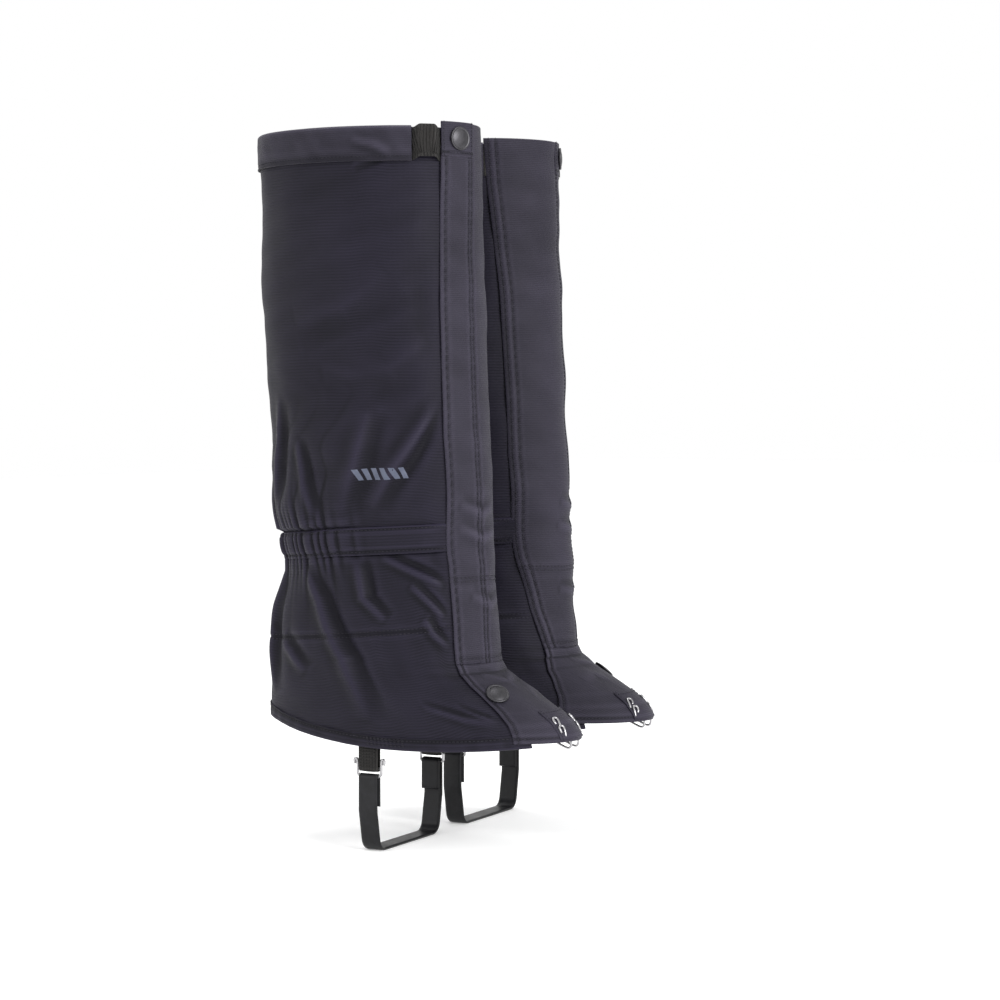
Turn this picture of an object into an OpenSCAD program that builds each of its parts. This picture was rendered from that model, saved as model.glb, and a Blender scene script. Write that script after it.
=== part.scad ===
// A pair of knee-length front-opening gaiters. The right gaiter is drawn, and the left is its mirror.
// Axes: +X towards the toes, +Y to the wearer's left, +Z up. Zero height is the underside of the straps.
// Places round the leg are given by an angle: 0 is the front, 90 the outer side, 180 the back, 270 the inner side.
// A depth is a distance out from the leg's surface, along its normal.

/* [Pair] */
// Distance between the two gaiters' middle planes
pair_spacing = 130; // [128:1:150]
// Place of the rim's centre along X, which puts the origin under the middle of the pair
rim_x = -46; // [-50:0.5:-40]

/* [Upper] */
// Height of the top rim
rim_z = 524; // [515:1:530]
// Height of the collar band below the rim
collar_h = 25; // [24:1:30]
// Height of the tab that stands above the rim
tab_rise = 2.5; // [1:0.5:4]
// Height of the cinch webbing
webbing_h = 21; // [18:1:21]
// How far the webbing stands out where it shows beside the tab
webbing_bulge = 6; // [2:1:9]

/* [Ankle and skirt] */
// Middle height of the ankle casing at the side of the leg
casing_z = 224.5; // [220:0.5:230]
// Height of the ankle casing
casing_h = 20; // [16:1:24]
// How much higher the casing is at the front than at the side
casing_slope = 5.5; // [2:0.5:7]
// Height of the bottom hem at the side of the boot
hem_z = 76; // [74:1:80]
// Depth of the folded hem
hem_h = 9; // [6:1:12]

/* [Front closure] */
// Height where the storm flap ends and the tongue begins to bend
flap_end_z = 138; // [136:1:142]
// Height of the tongue's upper edge
tongue_top_z = 131; // [129:1:132]
// Height of the tongue's tip
tongue_tip_z = 84; // [82:1:86]
// Width of the hook tape and of the loop tape
tape_w = 20; // [16:1:22]
// Overlap of the flap's free edge on the outer panel
flap_overlap = 5; // [4:0.5:6]

/* [Cloth] */
// Thickness of the outer cloth
cloth_t = 1; // [0.8:0.1:1.2]
// Thickness of the folded bands' layers
band_t = 0.7; // [0.5:0.1:0.8]
// Depth of the flap's inner face from the leg's surface
flap_d = 2; // [2:0.1:2.3]

/* [Snaps] */
// Radius of a snap cap
cap_r = 8.5; // [7:0.5:9]
// Radius of a snap socket
socket_r = 4.8; // [4.2:0.1:5]
// Radius of a snap stud's head
stud_r = 2.8; // [2.4:0.1:2.9]

/* [Strap under the foot] */
// Place of the strap along X, from the rim's centre
strap_x = 30; // [26:1:34]
// Width of the instep strap
strap_w = 14; // [12:1:15]
// Thickness of the instep strap
strap_t = 1.8; // [1.4:0.1:2]
// Half of the distance between the strap's two hanging bars
bar_y = 47.4; // [47:0.1:47.6]
// Height of the bars that hang in the webbing loops
bar_z = 61; // [60:0.5:62]
// Distance from a hanging bar down to the bar that holds the strap
link_l = 6.8; // [6.5:0.1:7.5]
// Radius of the buckle's wire
wire_r = 1; // [0.9:0.1:1.1]
// Width of the webbing that holds the buckle
loop_w = 15; // [13:1:15]

/* [Hidden] */
$fn = 48;
SIDES = ["right", "left"];
PIECES = [
    "calf_panel", "collar_band", "calf_webbing", "underlap", "loop_tape", "hook_tape", "storm_flap",
    "top_snap_cap", "top_snap_socket", "top_snap_stud", "top_snap_post",
    "lower_snap_cap", "lower_snap_socket", "lower_snap_stud", "lower_snap_post",
    "ankle_casing", "ankle_elastic", "skirt_panel", "bottom_hem", "tongue", "tongue_patch", "lace_hook",
    "outer_webbing_loop", "inner_webbing_loop", "buckle_frame", "buckle_bar", "strap_ring", "instep_strap"
];

// The leg's surface: at each height, the back, the widest place, the front and the half width
stations = [
    [530, -83, 0, 88, 58],
    [500, -83, 0, 88.5, 58],
    [400, -80, 0, 92, 58],
    [325, -76, 0, 95.5, 57],
    [288, -73.5, 0, 98, 55],
    [261, -71, 0, 99.5, 52.5],
    [234, -65, 2, 100.5, 47.5],
    [223, -62, 3, 101, 45.5],
    [207, -58.5, 6, 102, 45],
    [195, -64.5, 9, 102.5, 46.5],
    [174, -71, 14, 104, 48.5],
    [150, -73.5, 20, 105, 50.5],
    [129, -74, 30, 108, 51.5],
    [115, -74.5, 40, 133, 52],
    [95, -75, 50, 167, 52],
    [82, -75, 55, 174, 52],
    [60, -75, 58, 175, 52]
];
// Distance out from the middle plane of the flap's free edge, by height
free_edge = [[524, 27], [397, 30], [302, 30], [208, 26], [164, 28], [132, 30], [109, 32.5], [84, 35]];
// Distance in from the middle plane of the flap's sewn edge, by height
sewn_edge = [[524, 46], [492, 45], [411, 41], [286, 38], [223, 33], [168, 30], [138, 26]];
// Distance in from the middle plane of the tongue's inner edge, by height
tongue_edge = [[131, 26], [120, 33], [108, 38], [94, 42], [84, 43]];
smoothing = 8;
gap = 0.35;
underlap_d = -1.6;
underlap_t = 0.8;
underlap_end_z = 107;
open_gap = 1.5;
beside_tongue = 1.9;
tape_t = 0.8;
socket_h = 1.4;
snap_y = 16;
snap_z = 515.5;
low_snap_y = 24.5;
low_snap_z = 115;
collar_end_y = 40;
tongue_t = 1.2;
strap_corner = 9;
strap_bottom_y = 44;
loop_t = 1.2;
loop_clear = 0.3;

function column(z, k) = lookup(z, [for (s = stations) [s[0], s[k]]]);
function smooth(z, k) = (column(z - smoothing, k) + 2 * column(z, k) + column(z + smoothing, k)) / 4;
function half(z) = smooth(z, 4);
function heel_round(z) = mix(0.78, 1, min(max((z - 110) / 100, 0), 1));
function unit(v) = v / norm(v);

// A point of the leg's surface at height z and angle a
function leg(z, a) =
    let (mid = smooth(z, 2), ahead = cos(a) > 0, reach = ahead ? smooth(z, 3) - mid : mid - smooth(z, 1))
    [rim_x + mid + reach * cos(a), -half(z) * sign(sin(a)) * pow(abs(sin(a)), ahead ? 1 : heel_round(z)), z];

function normal(z, a) = unit(cross(leg(z + 1, a) - leg(z - 1, a), leg(z, a + 1) - leg(z, a - 1)));
function skin(z, a, d) = leg(z, a) + d * normal(z, a);

// The angle at which the surface is y to the outer side of the middle plane, in front of its widest place
function outer_angle(z, y) = asin(y / half(z));
function inner_angle(z, y) = 360 - asin(y / half(z));

function free_angle(z, back = 0) = outer_angle(z, lookup(z, free_edge) - back);
function sewn_angle(z, back = 0) = inner_angle(z, lookup(z, sewn_edge) + back);
function tongue_angle(z, back = 0) = inner_angle(z, lookup(z, tongue_edge) + back);

function casing_mid(a) = casing_z + casing_slope * cos(a);
function hem_line(a) = cos(a) > 0 ? hem_z + 7 * pow(cos(a), 2) : hem_z + 17 * pow(cos(a), 2);
function mix(a, b, t) = a + (b - a) * t;

function halves(p, q, r, s) = [[p, q, r], [p, r, s]];

// A closed sheet between two depths. place(u, v) gives [height, angle], u round the leg and v downwards.
module cloth(place, d0, d1, nu, nv) {
    points = [for (d = [d1, d0]) for (j = [0:nv]) for (i = [0:nu])
        let (p = place(i / nu, j / nv)) skin(p[0], p[1], d)];
    m = (nu + 1) * (nv + 1);
    function at(i, j) = j * (nu + 1) + i;
    faces = concat(
        [for (j = [0:nv - 1]) for (i = [0:nu - 1])
            each halves(at(i, j), at(i, j + 1), at(i + 1, j + 1), at(i + 1, j))],
        [for (j = [0:nv - 1]) for (i = [0:nu - 1])
            each halves(m + at(i, j), m + at(i + 1, j), m + at(i + 1, j + 1), m + at(i, j + 1))],
        [for (i = [0:nu - 1]) each halves(at(i, 0), at(i + 1, 0), m + at(i + 1, 0), m + at(i, 0))],
        [for (i = [0:nu - 1]) each halves(at(i + 1, nv), at(i, nv), m + at(i, nv), m + at(i + 1, nv))],
        [for (j = [0:nv - 1]) each halves(at(0, j + 1), at(0, j), m + at(0, j), m + at(0, j + 1))],
        [for (j = [0:nv - 1]) each halves(at(nu, j), at(nu, j + 1), m + at(nu, j + 1), m + at(nu, j))]
    );
    polyhedron(points, faces);
}

// A band folded over along one edge: an inner layer from depth d0, a space, and an outer layer to depth d1.
// place(u) gives the [height, angle] of its open edge, and rise is the way to the fold, up or down.
module folded_band(place, d0, d1, rise, nu) {
    w = d1 - d0;
    h = abs(rise);
    t = band_t;
    section = [[0, 0], [t, 0], [t, h - t], [w - t, h - t], [w - t, 0], [w, 0], [w, h], [0, h]];
    turned = [for (p = section) rise > 0 ? [d0 + p[0], p[1]] : [d1 - p[0], -p[1]]];
    cap = [[0, 1, 2], [0, 2, 7], [7, 2, 3], [7, 3, 6], [3, 4, 5], [3, 5, 6]];
    points = [for (i = [0:nu]) let (p = place(i / nu)) for (q = turned) skin(p[0] + q[1], p[1], q[0])];
    faces = concat(
        [for (i = [0:nu - 1]) for (k = [0:7])
            each halves(8 * i + k, 8 * i + 8 + k, 8 * i + 8 + (k + 1) % 8, 8 * i + (k + 1) % 8)],
        cap,
        [for (f = cap) [for (v = [2, 1, 0]) 8 * nu + f[v]]]
    );
    polyhedron(points, faces);
}

// A point beside a place on the surface: p.x down the leg and p.y round it
function beside(z, a, d, p) =
    let (n = normal(z, a), round = unit(leg(z, a + 1) - leg(z, a - 1)))
    skin(z, a, d) + p.x * cross(round, n) + p.y * round;

// Puts its children on the surface, with their +Z along the outward normal
module on_skin(z, a, d) {
    n = normal(z, a);
    translate(skin(z, a, d)) rotate([0, acos(n.z), atan2(n.y, n.x)]) children();
}

// A round or flat bar that follows a planar path. Each corner is bent to a radius from the list.
module bent_bar(path, radii) {
    n = len(path);
    turns = [for (i = [1:n - 2])
        let (a = unit(path[i] - path[i - 1]), b = unit(path[i + 1] - path[i]))
        atan2(a.x * b.y - a.y * b.x, a * b)];
    cut = [0, for (i = [0:n - 3]) radii[i] * tan(abs(turns[i]) / 2), 0];
    for (i = [0:n - 2]) {
        along = unit(path[i + 1] - path[i]);
        start = path[i] + along * cut[i];
        length = norm(path[i + 1] - path[i]) - cut[i] - cut[i + 1];
        if (length > 0.01)
            translate([start.x, start.y, 0]) rotate([0, 0, atan2(along.y, along.x)]) rotate([90, 0, 90])
                linear_extrude(length) children();
    }
    for (i = [1:n - 2]) {
        r = radii[i - 1];
        turn = turns[i - 1];
        side = turn > 0 ? 1 : -1;
        along = unit(path[i] - path[i - 1]);
        centre = path[i] - along * cut[i] + side * r * [-along.y, along.x];
        first = atan2(along.y, along.x) - 90 * side + min(turn, 0);
        translate([centre.x, centre.y, 0]) rotate([0, 0, first])
            rotate_extrude(angle = abs(turn)) translate([r, 0]) children();
    }
}

// The points of a planar path whose corners are rounded, each to a radius from the list
function rounded(path, radii, steps = 8) = [
    path[0],
    for (i = [1:len(path) - 2])
        let (a = unit(path[i] - path[i - 1]), b = unit(path[i + 1] - path[i]),
             turn = atan2(a.x * b.y - a.y * b.x, a * b), r = radii[i - 1], side = sign(turn),
             start = path[i] - a * r * tan(abs(turn) / 2), centre = start + side * r * [-a.y, a.x],
             first = atan2(a.y, a.x) - 90 * side)
        for (k = [0:steps]) centre + r * [cos(first + turn * k / steps), sin(first + turn * k / steps)],
    path[len(path) - 1]
];

// A path without the points that repeat the one before
function distinct(path) = [
    for (i = [0:len(path) - 1]) if (i == 0 || norm(path[i] - path[max(i - 1, 0)]) > 0.01) path[i]
];

// The direction square to a path at its point i
function across(path, i) =
    let (d = unit(path[min(i + 1, len(path) - 1)] - path[max(i - 1, 0)])) [-d.y, d.x];

// The outline of a flat band of thickness t that follows a planar path
module band_outline(path, t) {
    polygon(concat(
        [for (i = [0:len(path) - 1]) path[i] + across(path, i) * t / 2],
        [for (i = [len(path) - 1:-1:0]) path[i] - across(path, i) * t / 2]
    ));
}

// A path with each corner cut off twice, which leaves a smooth curve
function cut_corners(path) = [
    path[0],
    for (i = [1:len(path) - 2]) each [mix(path[i], path[i - 1], 0.25), mix(path[i], path[i + 1], 0.25)],
    path[len(path) - 1]
];

// A round wire that follows a path in space
module wire(path, r, sides = 8) {
    n = len(path);
    ring = [for (i = [0:n - 1])
        let (d = unit(path[min(i + 1, n - 1)] - path[max(i - 1, 0)]),
             u = unit(cross(d, abs(d.y) > 0.9 ? [1, 0, 0] : [0, 1, 0])), v = cross(d, u))
        for (k = [0:sides - 1]) path[i] + r * (u * cos(360 * k / sides) + v * sin(360 * k / sides))];
    last = sides * (n - 1);
    polyhedron(ring, concat(
        [for (i = [0:n - 2]) for (k = [0:sides - 1])
            each halves(sides * i + k, sides * (i + 1) + k,
                sides * (i + 1) + (k + 1) % sides, sides * i + (k + 1) % sides)],
        [for (k = [1:sides - 2]) [0, k, k + 1]],
        [for (k = [1:sides - 2]) [last, last + k + 1, last + k]]
    ));
}

// Stands an outline drawn as [y, z] across the leg, in the plane at the strap's place
module across_leg() {
    translate([rim_x + strap_x, 0, 0]) rotate([90, 0, 90]) children();
}

module calf_panel() {
    top = rim_z - band_t - 0.7;
    bottom = function (a) casing_mid(a) + casing_h / 2 + 0.4;
    color([0.16, 0.15, 0.2]) cloth(function (u, v)
        let (a0 = mix(free_angle(400), sewn_angle(400), u), z = mix(top, bottom(a0), v))
        [z, mix(free_angle(z, flap_overlap), sewn_angle(z, 1.2), u)], 0, cloth_t, 36, 8);
}

module collar_band() {
    z = rim_z - collar_h;
    color([0.23, 0.21, 0.26]) folded_band(function (u)
        [z, mix(outer_angle(z, collar_end_y), sewn_angle(z, 1.6), u)], -1.2, 3.3, collar_h, 34);
}

// The webbing runs in the collar, then stands out and a little higher where it shows beside the tab
module calf_webbing() {
    z0 = rim_z - 2.5 - webbing_h;
    shown = 1 / 14;
    show = function (u) u < shown ? pow(sin(180 * u / shown), 2) : 0;
    turn = function (z, u) u < shown
        ? mix(free_angle(z, -1.6), outer_angle(z, collar_end_y), u / shown)
        : mix(outer_angle(z, collar_end_y), sewn_angle(z, 3), (u - shown) / (1 - shown));
    nu = 56;
    points = [for (d = [2.15, 1.35]) for (j = [0:1]) for (i = [0:nu])
        let (u = i / nu, z = z0 + webbing_h * (1 - j) + 3 * show(u))
        skin(z, turn(z0, u), d + webbing_bulge * show(u))];
    m = 2 * (nu + 1);
    n = nu + 1;
    color([0.2, 0.2, 0.2]) polyhedron(points, concat(
        [for (i = [0:nu - 1]) each halves(i, n + i, n + i + 1, i + 1)],
        [for (i = [0:nu - 1]) each halves(m + i, m + i + 1, m + n + i + 1, m + n + i)],
        [for (i = [0:nu - 1]) each halves(i, i + 1, m + i + 1, m + i)],
        [for (i = [0:nu - 1]) each halves(n + i + 1, n + i, m + n + i, m + n + i + 1)],
        halves(n, 0, m, m + n),
        halves(nu, n + nu, m + n + nu, m + nu)));
}

module underlap() {
    top = rim_z - 2;
    color([0.14, 0.13, 0.17]) cloth(function (u, v)
        let (z = mix(top, underlap_end_z, v),
             last = z > flap_end_z ? sewn_angle(z, -5) : tongue_angle(min(z, tongue_top_z), -2))
        [z, mix(last - 360, free_angle(z, flap_overlap + open_gap), u)],
        underlap_d, underlap_d + underlap_t, 12, 24);
}

// A strip of tape under the flap, from one distance behind its free edge, between two depths
module tape(back, d0) {
    top = snap_z - socket_r - 12;
    cloth(function (u, v) let (z = mix(top, flap_end_z + 8, v))
        [z, free_angle(z, back + tape_w * (1 - u))], d0, d0 + tape_t, 4, 14);
}

module loop_tape() {
    color([0.1, 0.1, 0.11]) tape(flap_overlap + open_gap + 0.5, underlap_d + underlap_t + gap);
}

module hook_tape() {
    color([0.12, 0.12, 0.13]) tape(flap_overlap + open_gap + 0.5, flap_d - gap - tape_t);
}

module storm_flap() {
    color([0.22, 0.2, 0.25]) cloth(function (u, v) let (z = mix(rim_z + tab_rise, flap_end_z, v))
        [z, mix(sewn_angle(z, -0.8) - 360, free_angle(z), u)], flap_d, flap_d + cloth_t, 12, 14);
}

module ankle_casing() {
    place = function (u) let (a = mix(free_angle(casing_z, -2), sewn_angle(casing_z, 1.6), u))
        [casing_mid(a) - casing_h / 2, a];
    color([0.17, 0.16, 0.2]) folded_band(place, -0.9, 2.1, casing_h, 34);
}

module ankle_elastic() {
    height = casing_h - 6;
    color([0.75, 0.75, 0.75]) cloth(function (u, v) let (a = mix(75, 285, u))
        [casing_mid(a) + height * (0.4 - v), a], 0.25, 0.95, 26, 1);
}

module skirt_panel() {
    back = function (z) mix(-beside_tongue, flap_overlap, min(max((z - tongue_top_z) / 9, 0), 1));
    inner = function (z) z > flap_end_z
        ? sewn_angle(z, 1.2)
        : tongue_angle(min(z, tongue_top_z), beside_tongue);
    high = function (u) mix(free_angle(casing_z, flap_overlap), sewn_angle(casing_z, 1.2), u);
    low = function (u) mix(free_angle(90, -beside_tongue), tongue_angle(90, beside_tongue), u);
    color([0.17, 0.16, 0.21]) cloth(function (u, v)
        let (z = mix(casing_mid(high(u)) - casing_h / 2 - 0.4, hem_line(low(u)) + hem_h + 0.4, v))
        [z, mix(free_angle(z, back(z)), inner(z), u)], 0, cloth_t, 40, 15);
}

module bottom_hem() {
    place = function (u) let (a = mix(free_angle(90, -beside_tongue), tongue_angle(90, beside_tongue), u))
        [hem_line(a) + hem_h, a];
    color([0.15, 0.14, 0.19]) folded_band(place, -0.7, 1.5, -hem_h, 40);
}

module tongue() {
    color([0.22, 0.2, 0.25]) cloth(function (u, v) let (z = mix(tongue_top_z, tongue_tip_z, v))
        [z, mix(tongue_angle(z) - 360, free_angle(z), u)], flap_d, flap_d + tongue_t, 16, 8);
}

module tongue_patch() {
    color([0.24, 0.22, 0.27]) cloth(function (u, v) let (z = mix(102, tongue_tip_z + 0.5, v))
        [z, mix(-16, 16, u)], flap_d + tongue_t + gap, flap_d + tongue_t + 0.9, 6, 3);
}

// The outer half of a snap, with the shank that grips the cloth
module snap_cap() {
    dome = 1.4;
    rise = 2.4;
    ball = (cap_r * cap_r + dome * dome) / (2 * dome);
    color([0.3, 0.3, 0.32]) {
        intersection() {
            cylinder(r = cap_r, h = rise);
            translate([0, 0, rise - ball]) sphere(r = ball, $fn = 96);
        }
        rotate_extrude() translate([cap_r - 0.7, 1]) circle(r = 0.7, $fn = 24);
        translate([0, 0, -1.4]) cylinder(r = 1.8, h = 1.8);
    }
}

module snap_socket() {
    color([0.5, 0.5, 0.52]) rotate_extrude() polygon([
        [1.95, 0], [socket_r, 0], [socket_r, 0.4 - socket_h], [socket_r - 0.6, -socket_h],
        [stud_r + 0.3, -socket_h], [stud_r + 0.3, -0.5], [1.95, -0.5]
    ]);
}

module snap_stud() {
    flange = 0.5;
    rise = 1.95;
    color([0.5, 0.5, 0.52]) rotate_extrude() polygon([
        [1.7, 0], [stud_r + 1.8, 0], [stud_r + 1.8, flange], [stud_r - 0.3, flange],
        [stud_r, flange + 0.5], [stud_r, rise - 0.4], [stud_r - 0.4, rise], [1.7, rise]
    ]);
}

module snap_post() {
    color([0.5, 0.5, 0.52]) {
        translate([0, 0, -0.6]) cylinder(r = stud_r + 1.6, h = 0.6);
        translate([0, 0, -0.2]) cylinder(r = 1.6, h = 1.8);
    }
}

module on_top_snap(d) {
    on_skin(snap_z, outer_angle(snap_z, snap_y), d) children();
}

module on_lower_snap(d) {
    on_skin(low_snap_z, outer_angle(low_snap_z, low_snap_y), d) children();
}

// One bent wire under the tongue's tip: it comes forward on each side, turns down and back to catch the
// lace, and its clenched ends show as two open loops on each side of the tip
module lace_hook() {
    r = 0.8;
    y = 6;
    run = [[148, 104.2], [164, 94.2], [172, 88], [172.5, 78], [162, 82], [156, 86]];
    out = [for (p = run) [rim_x + p[0], -y, p[1]]];
    back = [for (i = [len(run) - 1:-1:0]) [rim_x + run[i][0], y, run[i][1]]];
    clench = [[3.5, -1.7], [-3, -1.7], [-3, 1.7], [1, 1.7]];
    color([0.8, 0.8, 0.82]) {
        wire(cut_corners(cut_corners(concat(out, back))), r);
        for (side = [-1, 1])
            for (z = [90.5, 95.5])
                wire(cut_corners(cut_corners(
                    [for (p = clench) beside(z, side * 13, flap_d + tongue_t + 1.3, p)])), r, 6);
    }
}

// A webbing strap that hangs from inside the hem, turns round a bar and goes back up
module webbing_loop(side) {
    turn = wire_r + loop_clear + loop_t / 2;
    y = side * bar_y;
    low = bar_z - turn;
    path = [[y + side * turn, 98], [y + side * turn, low], [y - side * turn, low], [y - side * turn, 92]];
    color([0.2, 0.2, 0.2]) across_leg() bent_bar(path, [turn, turn]) square([loop_t, loop_w], center = true);
}

module outer_webbing_loop() {
    webbing_loop(-1);
}

module inner_webbing_loop() {
    webbing_loop(1);
}

// An open wire frame with its top ends curled in, seen from the outer side
module buckle_frame() {
    half_w = 9.7;
    top = bar_z + 6;
    low = bar_z - link_l;
    end = 7.9;
    path = [[-end, top], [-half_w, top], [-half_w, low], [half_w, low], [half_w, top], [end, top]];
    color([0.75, 0.74, 0.76]) translate([rim_x + strap_x, -bar_y, 0]) rotate([90, 0, 0])
        bent_bar(path, [1.5, 1.5, 1.5, 1.5]) circle(r = wire_r, $fn = 32);
}

module buckle_bar() {
    length = 2 * 9.7 - 2 * wire_r;
    color([0.75, 0.74, 0.76]) translate([rim_x + strap_x - length / 2, -bar_y, bar_z])
        rotate([0, 90, 0]) cylinder(r = wire_r, h = length, $fn = 32);
}

module strap_ring() {
    half_w = 9.7;
    low = bar_z - link_l;
    path = [[0, bar_z], [-half_w, bar_z], [-half_w, low], [half_w, low], [half_w, bar_z], [0, bar_z]];
    color([0.75, 0.74, 0.76]) translate([rim_x + strap_x, bar_y, 0]) rotate([90, 0, 0])
        bent_bar(path, [1.5, 1.5, 1.5, 1.5]) circle(r = wire_r, $fn = 32);
}

// The strap turns round a bar at each end, goes down outside, and crosses under the foot
module instep_strap() {
    turn = wire_r + loop_clear + strap_t / 2;
    top = bar_z - link_l + turn;
    out = bar_y + turn;
    inn = bar_y - turn;
    tail = 34;
    low = strap_t / 2;
    path = [
        [-inn, tail], [-inn, top], [-out, top], [-out, 30], [-strap_bottom_y, low],
        [strap_bottom_y, low], [out, 30], [out, top], [inn, top], [inn, tail]
    ];
    bends = [turn, turn, 20, strap_corner, strap_corner, 20, turn, turn];
    color([0.14, 0.14, 0.15]) across_leg() translate([0, 0, -strap_w / 2])
        linear_extrude(strap_w) band_outline(distinct(rounded(path, bends)), strap_t);
}

// One named piece of the right gaiter, about its own middle plane
module piece(name) {
    if (name == "calf_panel") calf_panel();
    if (name == "collar_band") collar_band();
    if (name == "calf_webbing") calf_webbing();
    if (name == "underlap") underlap();
    if (name == "loop_tape") loop_tape();
    if (name == "hook_tape") hook_tape();
    if (name == "storm_flap") storm_flap();
    if (name == "top_snap_cap") on_top_snap(flap_d + cloth_t - 0.4) snap_cap();
    if (name == "top_snap_socket") on_top_snap(flap_d) snap_socket();
    if (name == "top_snap_stud") on_top_snap(underlap_d + underlap_t) snap_stud();
    if (name == "top_snap_post") on_top_snap(underlap_d) snap_post();
    if (name == "lower_snap_cap") on_lower_snap(flap_d + tongue_t - 0.4) snap_cap();
    if (name == "lower_snap_socket") on_lower_snap(flap_d) snap_socket();
    if (name == "lower_snap_stud") on_lower_snap(underlap_d + underlap_t) snap_stud();
    if (name == "lower_snap_post") on_lower_snap(underlap_d) snap_post();
    if (name == "ankle_casing") ankle_casing();
    if (name == "ankle_elastic") ankle_elastic();
    if (name == "skirt_panel") skirt_panel();
    if (name == "bottom_hem") bottom_hem();
    if (name == "tongue") tongue();
    if (name == "tongue_patch") tongue_patch();
    if (name == "lace_hook") lace_hook();
    if (name == "outer_webbing_loop") outer_webbing_loop();
    if (name == "inner_webbing_loop") inner_webbing_loop();
    if (name == "buckle_frame") buckle_frame();
    if (name == "buckle_bar") buckle_bar();
    if (name == "strap_ring") strap_ring();
    if (name == "instep_strap") instep_strap();
}

// The right gaiter stands on the -Y side, and the left is its mirror
module on_side(side) {
    if (side == "right") translate([0, -pair_spacing / 2, 0]) children();
    if (side == "left") mirror([0, 1, 0]) translate([0, -pair_spacing / 2, 0]) children();
}

for (side = SIDES)
    for (name = PIECES)
        on_side(side) piece(name);
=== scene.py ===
# %% [markdown]
# # A pair of hiking gaiters
# Gaiters are cloth sleeves that close the space between a boot and a trouser leg. Each of these opens
# down the front, under a flap that closes with hook and loop tape and a snap at each end. The ankle is
# drawn in by an elastic, a tongue runs down over the laces, and a strap passes under the foot.
#
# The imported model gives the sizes, the moving bodies and their joints. Its soft parts are plain sheets,
# so every cloth part is made again here from the same pattern, with its folds, seams and thread.

# %% Load the frame
import math
import bpy
import numpy as np
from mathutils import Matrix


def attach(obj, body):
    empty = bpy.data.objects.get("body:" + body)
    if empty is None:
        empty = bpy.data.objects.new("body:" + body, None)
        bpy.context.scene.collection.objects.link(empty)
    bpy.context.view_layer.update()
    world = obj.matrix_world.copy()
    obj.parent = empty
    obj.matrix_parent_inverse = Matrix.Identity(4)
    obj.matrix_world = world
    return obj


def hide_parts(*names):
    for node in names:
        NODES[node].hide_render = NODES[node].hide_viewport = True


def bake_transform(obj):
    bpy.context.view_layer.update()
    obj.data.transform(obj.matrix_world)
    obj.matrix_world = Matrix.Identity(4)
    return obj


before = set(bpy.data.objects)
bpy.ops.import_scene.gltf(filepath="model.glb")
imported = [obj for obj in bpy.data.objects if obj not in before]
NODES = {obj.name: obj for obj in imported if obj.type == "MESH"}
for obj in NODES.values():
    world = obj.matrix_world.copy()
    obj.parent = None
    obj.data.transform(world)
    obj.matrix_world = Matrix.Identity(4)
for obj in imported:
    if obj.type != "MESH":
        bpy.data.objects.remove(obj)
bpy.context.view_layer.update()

MM = 0.001
TURN = 2 * math.pi
SIDES = ("right", "left")


def in_scene(name, data):
    """A new object that shows in the scene."""
    made = bpy.data.objects.new(name, data)
    bpy.context.scene.collection.objects.link(made)
    return made


# %% [markdown]
# The camera comes first, so that each later piece can be judged in the view that matters. It stands
# about 1.9 m away on the outer side of the right gaiter, turned 27 degrees towards the toes, at a
# height of 0.32 m. It is tilted down a little. A long lens keeps the two gaiters nearly the same size.

# %% Camera
def make_camera(turn=27.0, tilt=2.18, height=0.3235, away=1.861, lens=88.9, aim_x=0.033):
    camera = in_scene("camera", bpy.data.cameras.new("camera"))
    camera.data.lens = lens
    camera.data.sensor_width = 36.0
    camera.data.clip_start = 0.05
    turn_r = math.radians(turn)
    camera.location = (aim_x + away * math.sin(turn_r), -away * math.cos(turn_r), height)
    camera.rotation_euler = (math.radians(90 - tilt), 0.0, turn_r)
    bpy.context.scene.camera = camera
    return camera


camera = make_camera()
print("camera at", tuple(round(v, 3) for v in camera.location))

# %% [markdown]
# Dark cloth shows its shape only through what it reflects. One broad soft light stands in front and to
# the right, a weaker one fills from the left, and one above picks out the rims and the folds. A pale
# world keeps the shadows open, and the floor is plain and nearly white.

# %% Floor and lights
def make_light(name, place, aim, size, power):
    lamp = bpy.data.lights.new(name, "AREA")
    lamp.shape = "DISK"
    lamp.size = size
    lamp.energy = power
    light = in_scene(name, lamp)
    light.location = place
    way = np.array(aim) - np.array(place)
    flat = math.hypot(way[0], way[1])
    light.rotation_euler = (math.atan2(flat, -way[2]), 0.0, math.atan2(-way[0], way[1]))
    return light


LIGHTS = [
    ("front light", (2.0, -0.8, 1.1), (0.0, 0.0, 0.25), 1.3, 46.0),
    ("fill light", (-1.3, -1.9, 1.0), (0.0, 0.0, 0.25), 1.4, 9.0),
    ("top light", (-0.3, 0.2, 2.0), (0.0, 0.0, 0.2), 1.2, 20.0),
]
for light in LIGHTS:
    make_light(*light)

world = bpy.data.worlds.new("pale room")
bpy.context.scene.world = world
world.use_nodes = True
world.node_tree.nodes["Background"].inputs["Color"].default_value = (1.0, 1.0, 1.0, 1.0)
world.node_tree.nodes["Background"].inputs["Strength"].default_value = 1.0
bpy.context.scene.view_settings.view_transform = "Standard"

floor_mesh = bpy.data.meshes.new("floor")
floor_mesh.from_pydata([(-6, -6, 0), (6, -6, 0), (6, 12, 0), (-6, 12, 0)], [], [(0, 1, 2, 3)])
floor = in_scene("floor", floor_mesh)
print("lights", [light[0] for light in LIGHTS])

# %% [markdown]
# Materials are sums on sockets. `Wire` is the end of a wire in a material, and the ordinary signs work
# on it: each adds one Math node. `Finish` is a material under construction, and its `add` makes any
# other node from its type, its settings and the values or wires for its sockets.

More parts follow.
